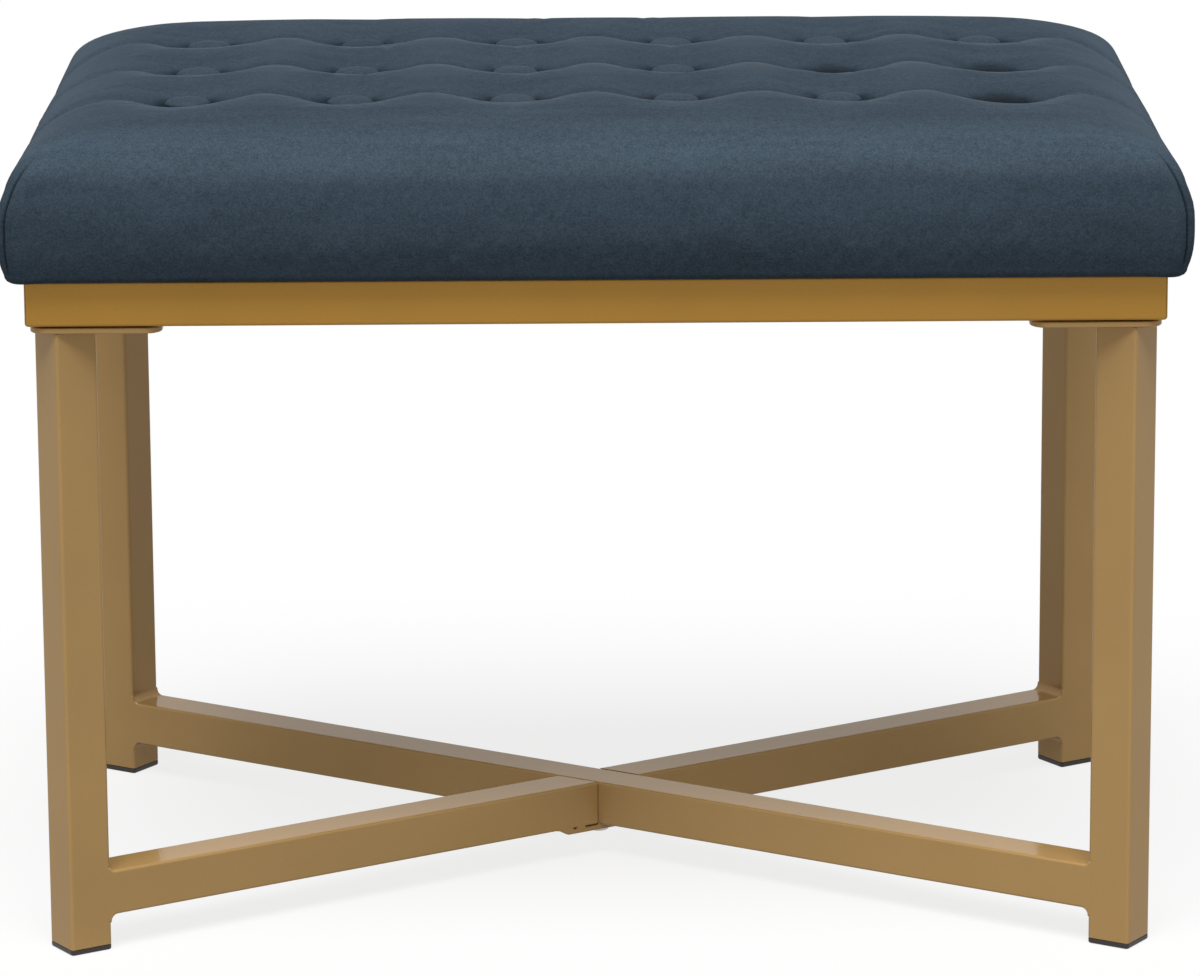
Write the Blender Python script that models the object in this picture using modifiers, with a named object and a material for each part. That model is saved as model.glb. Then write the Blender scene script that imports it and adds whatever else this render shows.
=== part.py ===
"""Ottoman bench: a button-tufted velvet seat on a frame of square steel tube.

Four legs, turned to face the middle, carry an apron of mitred tube on flat plates. A low X of
stretchers ties them together: one runs through, the other is two halves joined by a plate.
Metres, +Z up. The origin is on the floor under the middle of the seat, +X to the right.
"""
import math

import bmesh
import bpy
from mathutils import Matrix, Vector

# Gap between pieces that touch
FIT = 0.0003

# Vertices nearer than this are one
WELD = 0.00001

# Apron of square tube under the seat
APRON_LENGTH = 0.610
APRON_DEPTH = 0.406
APRON_TUBE = 0.025

# Tube stock
TUBE_WALL = 0.0015
TUBE_CORNER = 0.0018
CORNER_STEPS = 3

# Legs
LEG_SIDE = 0.025
LEG_LENGTH = 0.344
LEG_INSET = 0.020

# Foot caps
SOLE_THICKNESS = 0.003
PLUG_DEPTH = 0.014
PLUG_CLEARANCE = 0.0004

# Plates on top of the legs
PLATE_SIDE = 0.071
PLATE_THICKNESS = 0.004
PLATE_CORNER = 0.010
PLATE_SETBACK = 0.002

# Stretchers and the plate under their crossing
STRETCHER_HEIGHT = 0.025
STRETCHER_LIFT = 0.0195
JOINING_PLATE_LENGTH = 0.072
JOINING_PLATE_THICKNESS = 0.0035

# Leg screws, through the plates into the apron tubes
LEG_SCREW_DIAMETER = 0.006
LEG_SCREW_HEAD = 0.0118
LEG_SCREW_HEAD_HEIGHT = 0.0029
LEG_SCREW_LENGTH = 0.016
LEG_SCREW_EDGE = 0.013
SCREW_CLEARANCE = 0.0003
SCREW_TIP_CHAMFER = 0.0008

# Seat screws, from inside the apron tubes into the seat board
SEAT_SCREW_DIAMETER = 0.004
SEAT_SCREW_HEAD = 0.0085
SEAT_SCREW_HEAD_HEIGHT = 0.0026
SEAT_SCREW_BITE = 0.009
ACCESS_HOLE_MARGIN = 0.0008

# Share of its width that a pan head keeps at its end
PAN_HEAD_CROWN = 0.8

# Bolt and nut at the crossing
CROSSING_BOLT_DIAMETER = 0.006
CROSSING_BOLT_HEAD = 0.0125
CROSSING_BOLT_HEAD_HEIGHT = 0.003
CROSSING_NUT_WIDTH = 0.010
CROSSING_NUT_HEIGHT = 0.005
CROSSING_BOLT_TIP = 0.002

# Seat board and dust cover
BOARD_THICKNESS = 0.012
BOARD_INSET = 0.002
HEM_WIDTH = 0.007
HEM_GAP = 0.0006
HEM_CORNER = 0.0018

# Cushion envelope
CUSHION_OVERHANG = 0.0135
CUSHION_HEIGHT = 0.086
WALL_HEIGHT = 0.049
CUSHION_CORNER = 0.014
SHOULDER_REACH = 0.070
SHOULDER_POWER = 2.4
CORNER_POWER = 2.0
BOTTOM_TUCK = 0.0045
BULGE_HEIGHT = 0.024
WALL_TOP_INSET = 0.0012
COVER_THICKNESS = 0.0015
FOAM_GAP = 0.0006

# Tufting
BUTTON_ROWS = 3
BUTTON_COLUMNS = 6
ROW_MARGIN = 0.1175
COLUMN_MARGIN = 0.096
TUFT_DEPTH = 0.0065
TUFT_REACH = 0.016
TUFT_REACH_ACROSS = 0.026
VALLEY_DEPTH = 0.0022
VALLEY_REACH = 0.012
BUTTON_DIAMETER = 0.0248
BUTTON_EDGE = 0.0010
BUTTON_HEIGHT = 0.0046
BUTTON_UNDERCUT = 0.0005
BUTTON_STEPS = 16
DOME_STEPS = 3
SEAT_MARGIN = 0.0002

# Cushion mesh lines
SHOULDER_LINE = 0.016
MARGIN_LINE = 0.050

# Turned steel pieces and the cutters for their holes
SCREW_STEPS = 16
CUTTER_STEPS = 16
CUT_PAST = 0.002
SHARP_ANGLE = math.radians(40)

# Heights, worked out from the floor up
LEG_BOTTOM = SOLE_THICKNESS + FIT
LEG_TOP = LEG_BOTTOM + LEG_LENGTH
PLATE_BOTTOM = LEG_TOP + FIT
PLATE_TOP = PLATE_BOTTOM + PLATE_THICKNESS
APRON_BOTTOM = PLATE_TOP + FIT
APRON_TOP = APRON_BOTTOM + APRON_TUBE
HEM_BOTTOM = APRON_TOP + FIT
HEM_TOP = HEM_BOTTOM + COVER_THICKNESS
BOARD_BOTTOM = HEM_TOP + FIT
BOARD_TOP = BOARD_BOTTOM + BOARD_THICKNESS
STRETCHER_MIDDLE = STRETCHER_LIFT + STRETCHER_HEIGHT / 2
JOINING_PLATE_TOP = STRETCHER_LIFT - FIT
JOINING_PLATE_BOTTOM = JOINING_PLATE_TOP - JOINING_PLATE_THICKNESS

# Places in plan
LEG_X = APRON_LENGTH / 2 - LEG_INSET
LEG_Y = APRON_DEPTH / 2 - LEG_INSET
DIAGONAL = math.hypot(LEG_X, LEG_Y)
STRETCHER_ANGLE = math.atan2(LEG_Y, LEG_X)
BOARD_HALF_X = APRON_LENGTH / 2 - BOARD_INSET
BOARD_HALF_Y = APRON_DEPTH / 2 - BOARD_INSET
CUSHION_HALF_X = APRON_LENGTH / 2 + CUSHION_OVERHANG
CUSHION_HALF_Y = APRON_DEPTH / 2 + CUSHION_OVERHANG
ROW_PITCH = 2 * (CUSHION_HALF_Y - ROW_MARGIN) / (BUTTON_ROWS - 1)
COLUMN_PITCH = 2 * (CUSHION_HALF_X - COLUMN_MARGIN) / (BUTTON_COLUMNS - 1)
TUFT_SEAT = BUTTON_DIAMETER / 2 + SEAT_MARGIN

SIDES = {"front": (0, -1), "back": (0, 1), "left": (-1, 0), "right": (1, 0)}
CORNERS = {
    "front_left": (-1, -1),
    "front_right": (1, -1),
    "back_left": (-1, 1),
    "back_right": (1, 1),
}


def clear_scene():
    """Remove whatever the file opened with."""
    for obj in list(bpy.data.objects):
        bpy.data.objects.remove(obj, do_unlink=True)


def new_collection(name):
    """A collection linked to the scene."""
    collection = bpy.data.collections.new(name)
    bpy.context.scene.collection.children.link(collection)
    return collection


def linear(channel):
    """One sRGB channel, 0 to 1, as linear light."""
    if channel <= 0.04045:
        return channel / 12.92
    return ((channel + 0.055) / 1.055) ** 2.4


def material(name, srgb, roughness, metallic=0.0):
    """A Principled BSDF material from an sRGB hex colour."""
    mat = bpy.data.materials.new(name)
    mat.use_nodes = True
    shader = mat.node_tree.nodes["Principled BSDF"]
    channels = [int(srgb[i:i + 2], 16) / 255 for i in (0, 2, 4)]
    shader.inputs["Base Color"].default_value = [linear(c) for c in channels] + [1.0]
    shader.inputs["Roughness"].default_value = roughness
    shader.inputs["Metallic"].default_value = metallic
    return mat


def add_object(name, mesh, mat, collection, location=(0, 0, 0), turn=0.0):
    """Link a mesh as an object, turned about Z."""
    obj = bpy.data.objects.new(name, mesh)
    obj.location = location
    obj.rotation_euler = (0, 0, turn)
    if mat is not None:
        mesh.materials.clear()
        mesh.materials.append(mat)
    collection.objects.link(obj)
    return obj


def mesh_from(bm, name):
    """Turn a bmesh into a mesh with outward faces."""
    bmesh.ops.recalc_face_normals(bm, faces=bm.faces)
    mesh = bpy.data.meshes.new(name)
    bm.to_mesh(mesh)
    bm.free()
    return mesh


def round_corners(points, radius, steps):
    """Replace each corner of a square outline, given in order, by an arc."""
    outline = []
    count = len(points)
    for index, corner in enumerate(points):
        before = (points[index - 1] - corner).normalized()
        after = (points[(index + 1) % count] - corner).normalized()
        centre = corner + (before + after) * radius
        start = -after * radius
        end = -before * radius
        for step in range(steps + 1):
            angle = step / steps * math.pi / 2
            outline.append(centre + start * math.cos(angle) + end * math.sin(angle))
    return outline


def rectangle(half_x, half_y):
    """The four corners of a rectangle, anticlockwise."""
    return [
        Vector((-half_x, -half_y)),
        Vector((half_x, -half_y)),
        Vector((half_x, half_y)),
        Vector((-half_x, half_y)),
    ]


def extruded_mesh(name, outlines, thickness):
    """Fill closed outlines, holes included, and extrude them along Z about the middle."""
    curve = bpy.data.curves.new(name, "CURVE")
    curve.dimensions = "2D"
    curve.fill_mode = "BOTH"
    curve.extrude = thickness / 2
    for outline in outlines:
        spline = curve.splines.new("POLY")
        spline.points.add(len(outline) - 1)
        spline.use_cyclic_u = True
        for point, place in zip(spline.points, outline):
            point.co = (place.x, place.y, 0, 1)
    guide = bpy.data.objects.new(name, curve)
    bpy.context.scene.collection.objects.link(guide)
    bpy.context.view_layer.update()
    depsgraph = bpy.context.evaluated_depsgraph_get()
    mesh = bpy.data.meshes.new_from_object(guide.evaluated_get(depsgraph))
    bpy.data.objects.remove(guide, do_unlink=True)
    bm = bmesh.new()
    bm.from_mesh(mesh)
    bmesh.ops.remove_doubles(bm, verts=bm.verts, dist=WELD)
    bpy.data.meshes.remove(mesh)
    return mesh_from(bm, name)


def tube_mesh(name, width, height, length):
    """A square tube along X: width across Y, height along Z."""
    outer = round_corners(rectangle(height / 2, width / 2), TUBE_CORNER, CORNER_STEPS)
    inner = rectangle(height / 2 - TUBE_WALL, width / 2 - TUBE_WALL)
    mesh = extruded_mesh(name, [outer, inner], length)
    mesh.transform(Matrix.Rotation(math.pi / 2, 4, "Y"))
    return mesh


def turned_mesh(name, profile, steps):
    """Turn a profile (radius, height), outer side from top to bottom, about Z."""
    mesh = bpy.data.meshes.new(name)
    edges = [(i, i + 1) for i in range(len(profile) - 1)]
    mesh.from_pydata([(radius, 0, height) for radius, height in profile], edges, [])
    guide = bpy.data.objects.new(name, mesh)
    bpy.context.scene.collection.objects.link(guide)
    screw = guide.modifiers.new("turn", "SCREW")
    screw.steps = steps
    screw.render_steps = steps
    screw.use_merge_vertices = True
    screw.merge_threshold = WELD
    screw.use_smooth_shade = True
    bpy.context.view_layer.update()
    depsgraph = bpy.context.evaluated_depsgraph_get()
    result = bpy.data.meshes.new_from_object(guide.evaluated_get(depsgraph))
    bpy.data.objects.remove(guide, do_unlink=True)
    bpy.data.meshes.remove(mesh)
    result.name = name
    result.set_sharp_from_angle(angle=SHARP_ANGLE)
    return result


def add_cutter(name, profile, location, cutters):
    """A turned cutter, hidden in renders."""
    cutter = add_object(name, turned_mesh(name, profile, CUTTER_STEPS), None, cutters, location)
    cutter.hide_render = True
    cutter.display_type = "WIRE"
    return cutter


def cut(obj, cutter):
    """Subtract a cutter from an object."""
    boolean = obj.modifiers.new(cutter.name, "BOOLEAN")
    boolean.operation = "DIFFERENCE"
    boolean.solver = "EXACT"
    boolean.object = cutter


def cylinder_profile(diameter, low, high):
    """Profile of a plain cylinder between two heights."""
    return [(0, high), (diameter / 2, high), (diameter / 2, low), (0, low)]


def leg_turn(sign_x, sign_y):
    """Turn of the tubes on the diagonal that a corner lies on."""
    return STRETCHER_ANGLE * sign_x * sign_y


def apron_sides():
    """Name, direction, half length across and turn of each apron tube."""
    for name, (sign_x, sign_y) in SIDES.items():
        along_x = sign_x == 0
        length = APRON_LENGTH if along_x else APRON_DEPTH
        reach = (APRON_DEPTH if along_x else APRON_LENGTH) / 2 - APRON_TUBE / 2
        turn = math.atan2(sign_y, sign_x) + math.pi / 2
        yield name, Vector((sign_x, sign_y, 0)) * reach, length, turn


def screw_places():
    """Name and plan position of the leg screws, on the apron tubes' middle lines."""
    reach = PLATE_SETBACK + PLATE_SIDE - LEG_SCREW_EDGE
    for name, (sign_x, sign_y) in CORNERS.items():
        beside = (sign_x * (APRON_LENGTH / 2 - reach), sign_y * (APRON_DEPTH - APRON_TUBE) / 2)
        yield name, "a", beside
        behind = (sign_x * (APRON_LENGTH - APRON_TUBE) / 2, sign_y * (APRON_DEPTH / 2 - reach))
        yield name, "b", behind


def make_apron(paint, parts, cutters):
    """Four mitred tubes, with holes for the leg screws and the seat screws."""
    middle = (APRON_BOTTOM + APRON_TOP) / 2
    tubes = {}
    for name, offset, length, turn in apron_sides():
        mesh = tube_mesh("frame_tube_" + name, APRON_TUBE, APRON_TUBE, length)
        # local -Y faces outwards: the ends are mitred by drawing each vertex in
        for vertex in mesh.vertices:
            across = vertex.co.y + APRON_TUBE / 2
            drawn = across + FIT / 2 * math.sqrt(2)
            vertex.co.x -= math.copysign(drawn, vertex.co.x)
        tube = add_object(mesh.name, mesh, paint, parts, (offset.x, offset.y, middle), turn)
        tubes[name] = tube
        access = SEAT_SCREW_HEAD + 2 * ACCESS_HOLE_MARGIN
        low = cylinder_profile(access, APRON_BOTTOM - CUT_PAST, APRON_BOTTOM + TUBE_WALL + CUT_PAST)
        place = (offset.x, offset.y, 0)
        cut(tube, add_cutter("access_hole_" + name, low, place, cutters))
        hole = SEAT_SCREW_DIAMETER + 2 * SCREW_CLEARANCE
        high = cylinder_profile(hole, APRON_TOP - TUBE_WALL - CUT_PAST, APRON_TOP + CUT_PAST)
        cut(tube, add_cutter("seat_hole_" + name, high, place, cutters))
    for corner, which, (x, y) in screw_places():
        hole = LEG_SCREW_DIAMETER + 2 * SCREW_CLEARANCE
        profile = cylinder_profile(hole, APRON_BOTTOM - CUT_PAST, APRON_BOTTOM + TUBE_WALL + CUT_PAST)
        cutter = add_cutter("apron_hole_" + corner + "_" + which, profile, (x, y, 0), cutters)
        end, side = corner.split("_")
        cut(tubes[end if which == "a" else side], cutter)


def make_plates(paint, parts, cutters):
    """A plate on top of each leg, with two countersunk holes."""
    half = PLATE_SIDE / 2
    plates = {}
    for name, (sign_x, sign_y) in CORNERS.items():
        outline = round_corners(rectangle(half, half), PLATE_CORNER, 2 * CORNER_STEPS)
        mesh = extruded_mesh("leg_plate_" + name, [outline], PLATE_THICKNESS)
        x = sign_x * (APRON_LENGTH / 2 - PLATE_SETBACK - half)
        y = sign_y * (APRON_DEPTH / 2 - PLATE_SETBACK - half)
        place = (x, y, (PLATE_BOTTOM + PLATE_TOP) / 2)
        plates[name] = add_object(mesh.name, mesh, paint, parts, place)
    # the sink follows the screw's cone, a screw clearance wider all round
    hole = LEG_SCREW_DIAMETER / 2 + SCREW_CLEARANCE
    mouth = LEG_SCREW_HEAD / 2 + SCREW_CLEARANCE
    flare = (LEG_SCREW_HEAD - LEG_SCREW_DIAMETER) / 2 / LEG_SCREW_HEAD_HEIGHT
    profile = [
        (0, PLATE_TOP + CUT_PAST),
        (hole, PLATE_TOP + CUT_PAST),
        (hole, PLATE_BOTTOM + LEG_SCREW_HEAD_HEIGHT),
        (mouth, PLATE_BOTTOM),
        (mouth + CUT_PAST * flare, PLATE_BOTTOM - CUT_PAST),
        (0, PLATE_BOTTOM - CUT_PAST),
    ]
    for corner, which, (x, y) in screw_places():
        cut(plates[corner], add_cutter("sink_" + corner + "_" + which, profile, (x, y, 0), cutters))


def make_leg_screws(steel, parts):
    """Countersunk screws, heads flush with the plates' undersides."""
    top = PLATE_BOTTOM + LEG_SCREW_LENGTH
    profile = [
        (0, top),
        (LEG_SCREW_DIAMETER / 2 - SCREW_TIP_CHAMFER, top),
        (LEG_SCREW_DIAMETER / 2, top - SCREW_TIP_CHAMFER),
        (LEG_SCREW_DIAMETER / 2, PLATE_BOTTOM + LEG_SCREW_HEAD_HEIGHT),
        (LEG_SCREW_HEAD / 2, PLATE_BOTTOM),
        (0, PLATE_BOTTOM),
    ]
    for corner, which, (x, y) in screw_places():
        mesh = turned_mesh("leg_screw_" + corner + "_" + which, profile, SCREW_STEPS)
        add_object(mesh.name, mesh, steel, parts, (x, y, 0))


def make_seat_screws(steel, parts):
    """Screws whose heads sit inside the apron tubes and whose shanks reach into the seat board."""
    seat = APRON_TOP - TUBE_WALL - FIT
    tip = BOARD_BOTTOM + SEAT_SCREW_BITE
    profile = [
        (0, tip),
        (SEAT_SCREW_DIAMETER / 2, tip - SEAT_SCREW_DIAMETER),
        (SEAT_SCREW_DIAMETER / 2, seat),
        (SEAT_SCREW_HEAD / 2, seat),
        (SEAT_SCREW_HEAD / 2 * PAN_HEAD_CROWN, seat - SEAT_SCREW_HEAD_HEIGHT),
        (0, seat - SEAT_SCREW_HEAD_HEIGHT),
    ]
    for name, offset, _, _ in apron_sides():
        mesh = turned_mesh("seat_screw_" + name, profile, SCREW_STEPS)
        add_object(mesh.name, mesh, steel, parts, (offset.x, offset.y, 0))


def make_legs(paint, parts):
    """Four upright tubes, their faces turned to line up with the stretchers."""
    for name, (sign_x, sign_y) in CORNERS.items():
        mesh = tube_mesh("leg_" + name, LEG_SIDE, LEG_SIDE, LEG_LENGTH)
        mesh.transform(Matrix.Rotation(-math.pi / 2, 4, "Y"))
        place = (sign_x * LEG_X, sign_y * LEG_Y, (LEG_BOTTOM + LEG_TOP) / 2)
        add_object(mesh.name, mesh, paint, parts, place, leg_turn(sign_x, sign_y))


def make_foot_caps(plastic, parts):
    """A sole as wide as the leg, with a plug that fills the tube's open end."""
    plug = LEG_SIDE - 2 * TUBE_WALL - 2 * PLUG_CLEARANCE
    for name, (sign_x, sign_y) in CORNERS.items():
        bm = bmesh.new()
        sole = bmesh.ops.create_cube(bm, size=1)["verts"]
        bmesh.ops.scale(bm, vec=(LEG_SIDE, LEG_SIDE, SOLE_THICKNESS), verts=sole)
        bmesh.ops.translate(bm, vec=(0, 0, SOLE_THICKNESS / 2), verts=sole)
        upright = [e for e in bm.edges if abs(e.verts[0].co.z - e.verts[1].co.z) > SOLE_THICKNESS / 2]
        bmesh.ops.bevel(
            bm, geom=upright, offset=TUBE_CORNER, segments=CORNER_STEPS, profile=0.5, affect="EDGES"
        )
        bm.faces.ensure_lookup_table()
        top = max(bm.faces, key=lambda face: face.calc_center_median().z)
        bmesh.ops.inset_region(bm, faces=[top], thickness=(LEG_SIDE - plug) / 2, use_even_offset=True)
        raised = bmesh.ops.extrude_face_region(bm, geom=[top])["geom"]
        verts = [item for item in raised if isinstance(item, bmesh.types.BMVert)]
        bmesh.ops.delete(bm, geom=[top], context="FACES_ONLY")
        bmesh.ops.translate(bm, vec=(0, 0, PLUG_DEPTH), verts=verts)
        place = (sign_x * LEG_X, sign_y * LEG_Y, 0)
        mesh = mesh_from(bm, "foot_cap_" + name)
        add_object(mesh.name, mesh, plastic, parts, place, leg_turn(sign_x, sign_y))


def make_stretchers(paint, parts, cutters):
    """One stretcher right through, and two halves cut to butt against its sides."""
    length = 2 * DIAGONAL - LEG_SIDE - 2 * FIT
    mesh = tube_mesh("stretcher_through", LEG_SIDE, STRETCHER_HEIGHT, length)
    place = (0, 0, STRETCHER_MIDDLE)
    through = add_object(mesh.name, mesh, paint, parts, place, -STRETCHER_ANGLE)
    hole = CROSSING_BOLT_DIAMETER + 2 * SCREW_CLEARANCE
    low = STRETCHER_LIFT - CUT_PAST
    profile = cylinder_profile(hole, low, STRETCHER_LIFT + TUBE_WALL + CUT_PAST)
    cut(through, add_cutter("stretcher_hole", profile, (0, 0, 0), cutters))
    # a half runs from its leg, at +X in its own frame, to the slanted face near the middle
    crossing = 2 * STRETCHER_ANGLE
    outer_end = DIAGONAL - LEG_SIDE / 2 - FIT
    for name, turn in (("front", STRETCHER_ANGLE + math.pi), ("back", STRETCHER_ANGLE)):
        half = tube_mesh("stretcher_half_" + name, LEG_SIDE, STRETCHER_HEIGHT, outer_end)
        for vertex in half.vertices:
            inner_end = (LEG_SIDE / 2 + FIT - vertex.co.y * math.cos(crossing)) / math.sin(crossing)
            vertex.co.x = outer_end if vertex.co.x > 0 else inner_end
        add_object(half.name, half, paint, parts, place, turn)


def make_joining_plate(paint, parts, cutters):
    """The plate under the crossing, in line with the two halves."""
    outline = round_corners(
        rectangle(JOINING_PLATE_LENGTH / 2, LEG_SIDE / 2), TUBE_CORNER, CORNER_STEPS
    )
    mesh = extruded_mesh("joining_plate", [outline], JOINING_PLATE_THICKNESS)
    place = (0, 0, (JOINING_PLATE_BOTTOM + JOINING_PLATE_TOP) / 2)
    plate = add_object(mesh.name, mesh, paint, parts, place, STRETCHER_ANGLE)
    hole = CROSSING_BOLT_DIAMETER + 2 * SCREW_CLEARANCE
    profile = cylinder_profile(hole, JOINING_PLATE_BOTTOM - CUT_PAST, JOINING_PLATE_TOP + CUT_PAST)
    cut(plate, add_cutter("joining_plate_hole", profile, (0, 0, 0), cutters))


def make_crossing_bolt(steel, parts, cutters):
    """The bolt from below, and the nut that it draws down inside the through stretcher."""
    seat = JOINING_PLATE_BOTTOM - FIT
    nut_bottom = STRETCHER_LIFT + TUBE_WALL + FIT
    nut_top = nut_bottom + CROSSING_NUT_HEIGHT
    tip = nut_top + CROSSING_BOLT_TIP
    radius = CROSSING_BOLT_DIAMETER / 2
    profile = [
        (0, tip),
        (radius, tip),
        (radius, seat),
        (CROSSING_BOLT_HEAD / 2, seat),
        (CROSSING_BOLT_HEAD / 2 * PAN_HEAD_CROWN, seat - CROSSING_BOLT_HEAD_HEIGHT),
        (0, seat - CROSSING_BOLT_HEAD_HEIGHT),
    ]
    bolt = turned_mesh("crossing_bolt", profile, SCREW_STEPS)
    add_object(bolt.name, bolt, steel, parts)
    bm = bmesh.new()
    across_corners = CROSSING_NUT_WIDTH / math.cos(math.pi / 6)
    bmesh.ops.create_cone(
        bm,
        cap_ends=True,
        segments=6,
        radius1=across_corners / 2,
        radius2=across_corners / 2,
        depth=CROSSING_NUT_HEIGHT,
    )
    mesh = mesh_from(bm, "crossing_nut")
    place = (0, 0, (nut_bottom + nut_top) / 2)
    nut = add_object(mesh.name, mesh, steel, parts, place, -STRETCHER_ANGLE)
    hole = CROSSING_BOLT_DIAMETER + 2 * SCREW_CLEARANCE
    bore = cylinder_profile(hole, nut_bottom - CUT_PAST, nut_top + CUT_PAST)
    cut(nut, add_cutter("nut_hole", bore, (0, 0, 0), cutters))


def make_seat_board(plywood, parts, cutters):
    """The plywood board inside the cushion, with pilot holes for the seat screws."""
    outline = round_corners(rectangle(BOARD_HALF_X, BOARD_HALF_Y), board_corner(), CORNER_STEPS)
    mesh = extruded_mesh("seat_board", [outline], BOARD_THICKNESS)
    board = add_object(mesh.name, mesh, plywood, parts, (0, 0, (BOARD_BOTTOM + BOARD_TOP) / 2))
    hole = SEAT_SCREW_DIAMETER + 2 * SCREW_CLEARANCE
    bottom = BOARD_BOTTOM + SEAT_SCREW_BITE + SCREW_CLEARANCE
    profile = cylinder_profile(hole, BOARD_BOTTOM - CUT_PAST, bottom)
    for name, offset, _, _ in apron_sides():
        cut(board, add_cutter("pilot_hole_" + name, profile, (offset.x, offset.y, 0), cutters))


def make_dust_cover(lining, parts, cutters):
    """The thin sheet under the board, inside the cover's hem, with holes for the seat screws."""
    half_x = APRON_LENGTH / 2 - HEM_WIDTH - HEM_GAP
    half_y = APRON_DEPTH / 2 - HEM_WIDTH - HEM_GAP
    outline = round_corners(rectangle(half_x, half_y), HEM_CORNER + HEM_GAP, CORNER_STEPS)
    mesh = extruded_mesh("dust_cover", [outline], COVER_THICKNESS)
    sheet = add_object(mesh.name, mesh, lining, parts, (0, 0, (HEM_BOTTOM + HEM_TOP) / 2))
    hole = SEAT_SCREW_DIAMETER + 2 * SCREW_CLEARANCE
    profile = cylinder_profile(hole, HEM_BOTTOM - CUT_PAST, HEM_TOP + CUT_PAST)
    for name, offset, _, _ in apron_sides():
        cut(sheet, add_cutter("lining_hole_" + name, profile, (offset.x, offset.y, 0), cutters))


def board_corner():
    """Corner radius of the seat board, concentric with the cushion's corner."""
    return max(CUSHION_CORNER - CUSHION_OVERHANG - BOARD_INSET, HEM_CORNER)


def column_places():
    """X of each column of buttons."""
    return [(i - (BUTTON_COLUMNS - 1) / 2) * COLUMN_PITCH for i in range(BUTTON_COLUMNS)]


def row_places():
    """Y of each row of buttons."""
    return [(i - (BUTTON_ROWS - 1) / 2) * ROW_PITCH for i in range(BUTTON_ROWS)]


def dimple(x, y):
    """Depth of a dimple at a place seen from its button: level under it, wider across the row."""
    away = math.hypot(x, y)
    if away <= BUTTON_DIAMETER / 2:
        return TUFT_DEPTH
    outside = 1 - BUTTON_DIAMETER / 2 / away
    share = math.hypot(x / TUFT_REACH, y / TUFT_REACH_ACROSS) * outside
    return TUFT_DEPTH * math.exp(-share ** 2)


def cushion_top(x, y):
    """Height of the tufted top: rounded shoulders, less a valley per row and a dimple per button."""
    fall_x = max(0.0, 1 - (CUSHION_HALF_X - abs(x)) / SHOULDER_REACH) ** SHOULDER_POWER
    fall_y = max(0.0, 1 - (CUSHION_HALF_Y - abs(y)) / SHOULDER_REACH) ** SHOULDER_POWER
    fall = min(1.0, (fall_x ** CORNER_POWER + fall_y ** CORNER_POWER) ** (1 / CORNER_POWER))
    fullness = (1 - fall) ** (1 / SHOULDER_POWER)
    sunk = 0.0
    for row in row_places():
        sunk += VALLEY_DEPTH * math.exp(-((y - row) / VALLEY_REACH) ** 2) * fullness
        for column in column_places():
            sunk += dimple(x - column, y - row)
    return APRON_TOP + WALL_HEIGHT + (CUSHION_HEIGHT - WALL_HEIGHT) * fullness - sunk


def plateau_lines(half, places):
    """Mesh lines across the top: shoulder, margin, and both sides and the middle of each tuft gap."""
    lines = [-half + SHOULDER_LINE, -half + MARGIN_LINE]
    for index, place in enumerate(places):
        if index:
            lines.append((places[index - 1] + place) / 2)
        lines += [place - TUFT_SEAT, place + TUFT_SEAT]
    return lines + [half - MARGIN_LINE, half - SHOULDER_LINE]


def ring_place(inset, number, rings, near, lines, half_along, half_side):
    """Plan place of a vertex on a wall ring, as (along its side, out to its side).

    The ring is a rounded rectangle, inset from the widest outline. near counts the vertex's mesh
    line from the corner. Lines past the corner keep their own place, the few before it are
    spread evenly from the middle of the corner's arc.
    """
    radius = max(CUSHION_CORNER - inset, HEM_CORNER)
    start = half_along - inset - radius
    corner = start + radius * math.cos(math.pi / 4)
    anchor = 0 if corner > lines[0] else 1
    if near >= rings + anchor:
        along = lines[near - rings]
    else:
        share = (near - number) / (rings + anchor - number)
        along = corner + (lines[anchor] - corner) * share
    into_arc = max(along - start, 0.0)
    return along, half_side - inset - radius + math.sqrt(radius ** 2 - into_arc ** 2)


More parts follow.
